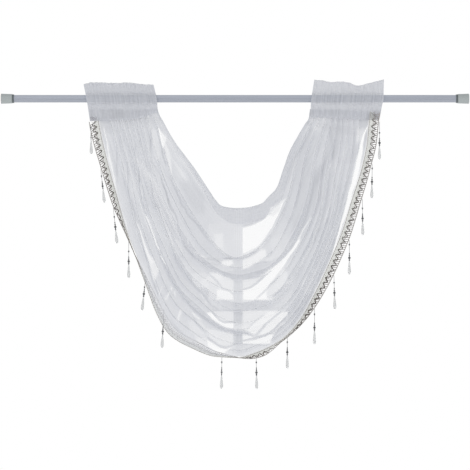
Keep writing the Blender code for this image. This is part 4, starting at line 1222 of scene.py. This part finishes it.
# ---- Studio ----
def white_world(scene):
    """White behind the object for the camera, and softer light for everything else."""
    scene.view_settings.view_transform = "Standard"
    scene.view_settings.look = "None"
    world = bpy.data.worlds.new("studio")
    scene.world = world
    world.use_nodes = True
    tree = world.node_tree
    seen = tree.nodes["Background"]
    fill(tree, seen, {"Color": (1.0, 1.0, 1.0, 1.0), "Strength": 1.0})
    soft = node(tree, "ShaderNodeBackground",
                ins={"Color": (0.97, 0.98, 1.0, 1.0), "Strength": 0.50})
    path = node(tree, "ShaderNodeLightPath").outputs["Is Camera Ray"]
    mix = node(tree, "ShaderNodeMixShader", ins={0: path, 1: soft.outputs[0], 2: seen.outputs[0]})
    fill(tree, tree.nodes["World Output"], {"Surface": mix.outputs[0]})


def floor_sheet(scene):
    """A pale floor below the picture, which throws light up. Sizes in metres."""
    mesh = bpy.data.meshes.new("floor")
    size, level, front, back = 2.4, -0.98, -2.6, 1.2
    corners = ((-size, front), (size, front), (size, back), (-size, back))
    mesh.from_pydata([(0.5 + x, y, level) for x, y in corners], [], [(0, 1, 2, 3)])
    floor = bpy.data.objects.new("floor", mesh)
    scene.collection.objects.link(floor)
    mat, tree, shader = nodes_of("floor_paint")
    cloud = noise(tree, object_place(tree), 3.0)
    fill(tree, shader, {
        "Base Color": tinted(tree, cloud, (0.86, 0.86, 0.87), (0.90, 0.90, 0.91)), "Roughness": 0.9,
        "Emission Color": (1.0, 1.0, 1.0, 1.0), "Emission Strength": 0.28,
    })
    mesh.materials.append(mat)


def area_light(scene, name, place, power, aim=(0.5, 0.0, -0.3), size=1.6):
    light = bpy.data.lights.new(name, "AREA")
    light.energy = power
    light.size = size
    obj = bpy.data.objects.new(name, light)
    scene.collection.objects.link(obj)
    obj.location = place
    look = Vector(aim) - Vector(place)
    obj.rotation_euler = look.to_track_quat("-Z", "Y").to_euler()


def camera(scene):
    """A long lens straight from the front, as wide as the photograph."""
    far, frame_width, film = 6.0, 1.0105, 36.0
    cam = bpy.data.cameras.new("camera")
    cam.lens = film * far / frame_width
    cam.clip_end = 100
    obj = bpy.data.objects.new("camera", cam)
    scene.collection.objects.link(obj)
    obj.location = (0.503, -far, -0.293)
    obj.rotation_euler = (math.pi / 2, 0, 0)
    scene.camera = obj


def studio():
    scene = bpy.context.scene
    white_world(scene)
    floor_sheet(scene)
    area_light(scene, "key", (-0.9, -2.6, 1.5), 14.0)
    area_light(scene, "fill", (2.2, -2.4, 0.2), 4.0)
    camera(scene)


def painted(name, mat):
    """Gives a CAD node that stays in the scene its finish."""
    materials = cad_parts[name].data.materials
    materials.clear()
    materials.append(mat)


def main():
    cloth = voile("voile_cloth", (0.735, 0.75, 0.80), (0.835, 0.85, 0.895))
    trim = {
        "tape": thread("braid_tape", (0.77, 0.785, 0.71), (0.91, 0.925, 0.86), cover=0.42),
        "lattice": thread("braid_lattice", (0.78, 0.78, 0.70), (0.94, 0.94, 0.88)),
        "cord": thread("braid_cord", (0.33, 0.30, 0.28), (0.60, 0.56, 0.52)),
        "zigzag": thread("braid_dark", (0.055, 0.048, 0.042), (0.20, 0.175, 0.15), 0.5),
        "knot": thread("braid_knot", (0.46, 0.45, 0.48), (0.76, 0.74, 0.78), cover=0.55),
    }
    beads = {
        "thread": thread("bead_thread", (0.34, 0.34, 0.34), (0.56, 0.56, 0.56)),
        "dark": glass("bead_dark", (0.16, 0.165, 0.17), 0.12, 0.0),
        "clear": glass("bead_clear", (0.83, 0.845, 0.84), 0.08, 0.5, (0.42, 0.8)),
    }
    swag = swag_cloth(cloth)
    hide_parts("swag_panel")
    for seed, row in enumerate(HEADINGS):
        head = heading_cloth(row, cloth, HEADING_SEED + seed, HEADING_CLOSE[seed])
        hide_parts(row.name)
    pieces = braid(trim)
    drops = [bead_drop(number, row, beads) for number, row in enumerate(DROPS, 1)]

    # where each cap's painted gap shadow lies
    near, far = CAP_GAP_SHADOW
    painted("rod", rod_paint_with_painted_light())
    painted("end_cap_left", cap_plastic_with_gap_shadow("end_cap_left_plastic_gap_shadow", near, far))
    right = ROD_LENGTH * MM
    painted("end_cap_right", cap_plastic_with_gap_shadow("end_cap_right_plastic_gap_shadow", right - far, right - near))
    studio()


main()
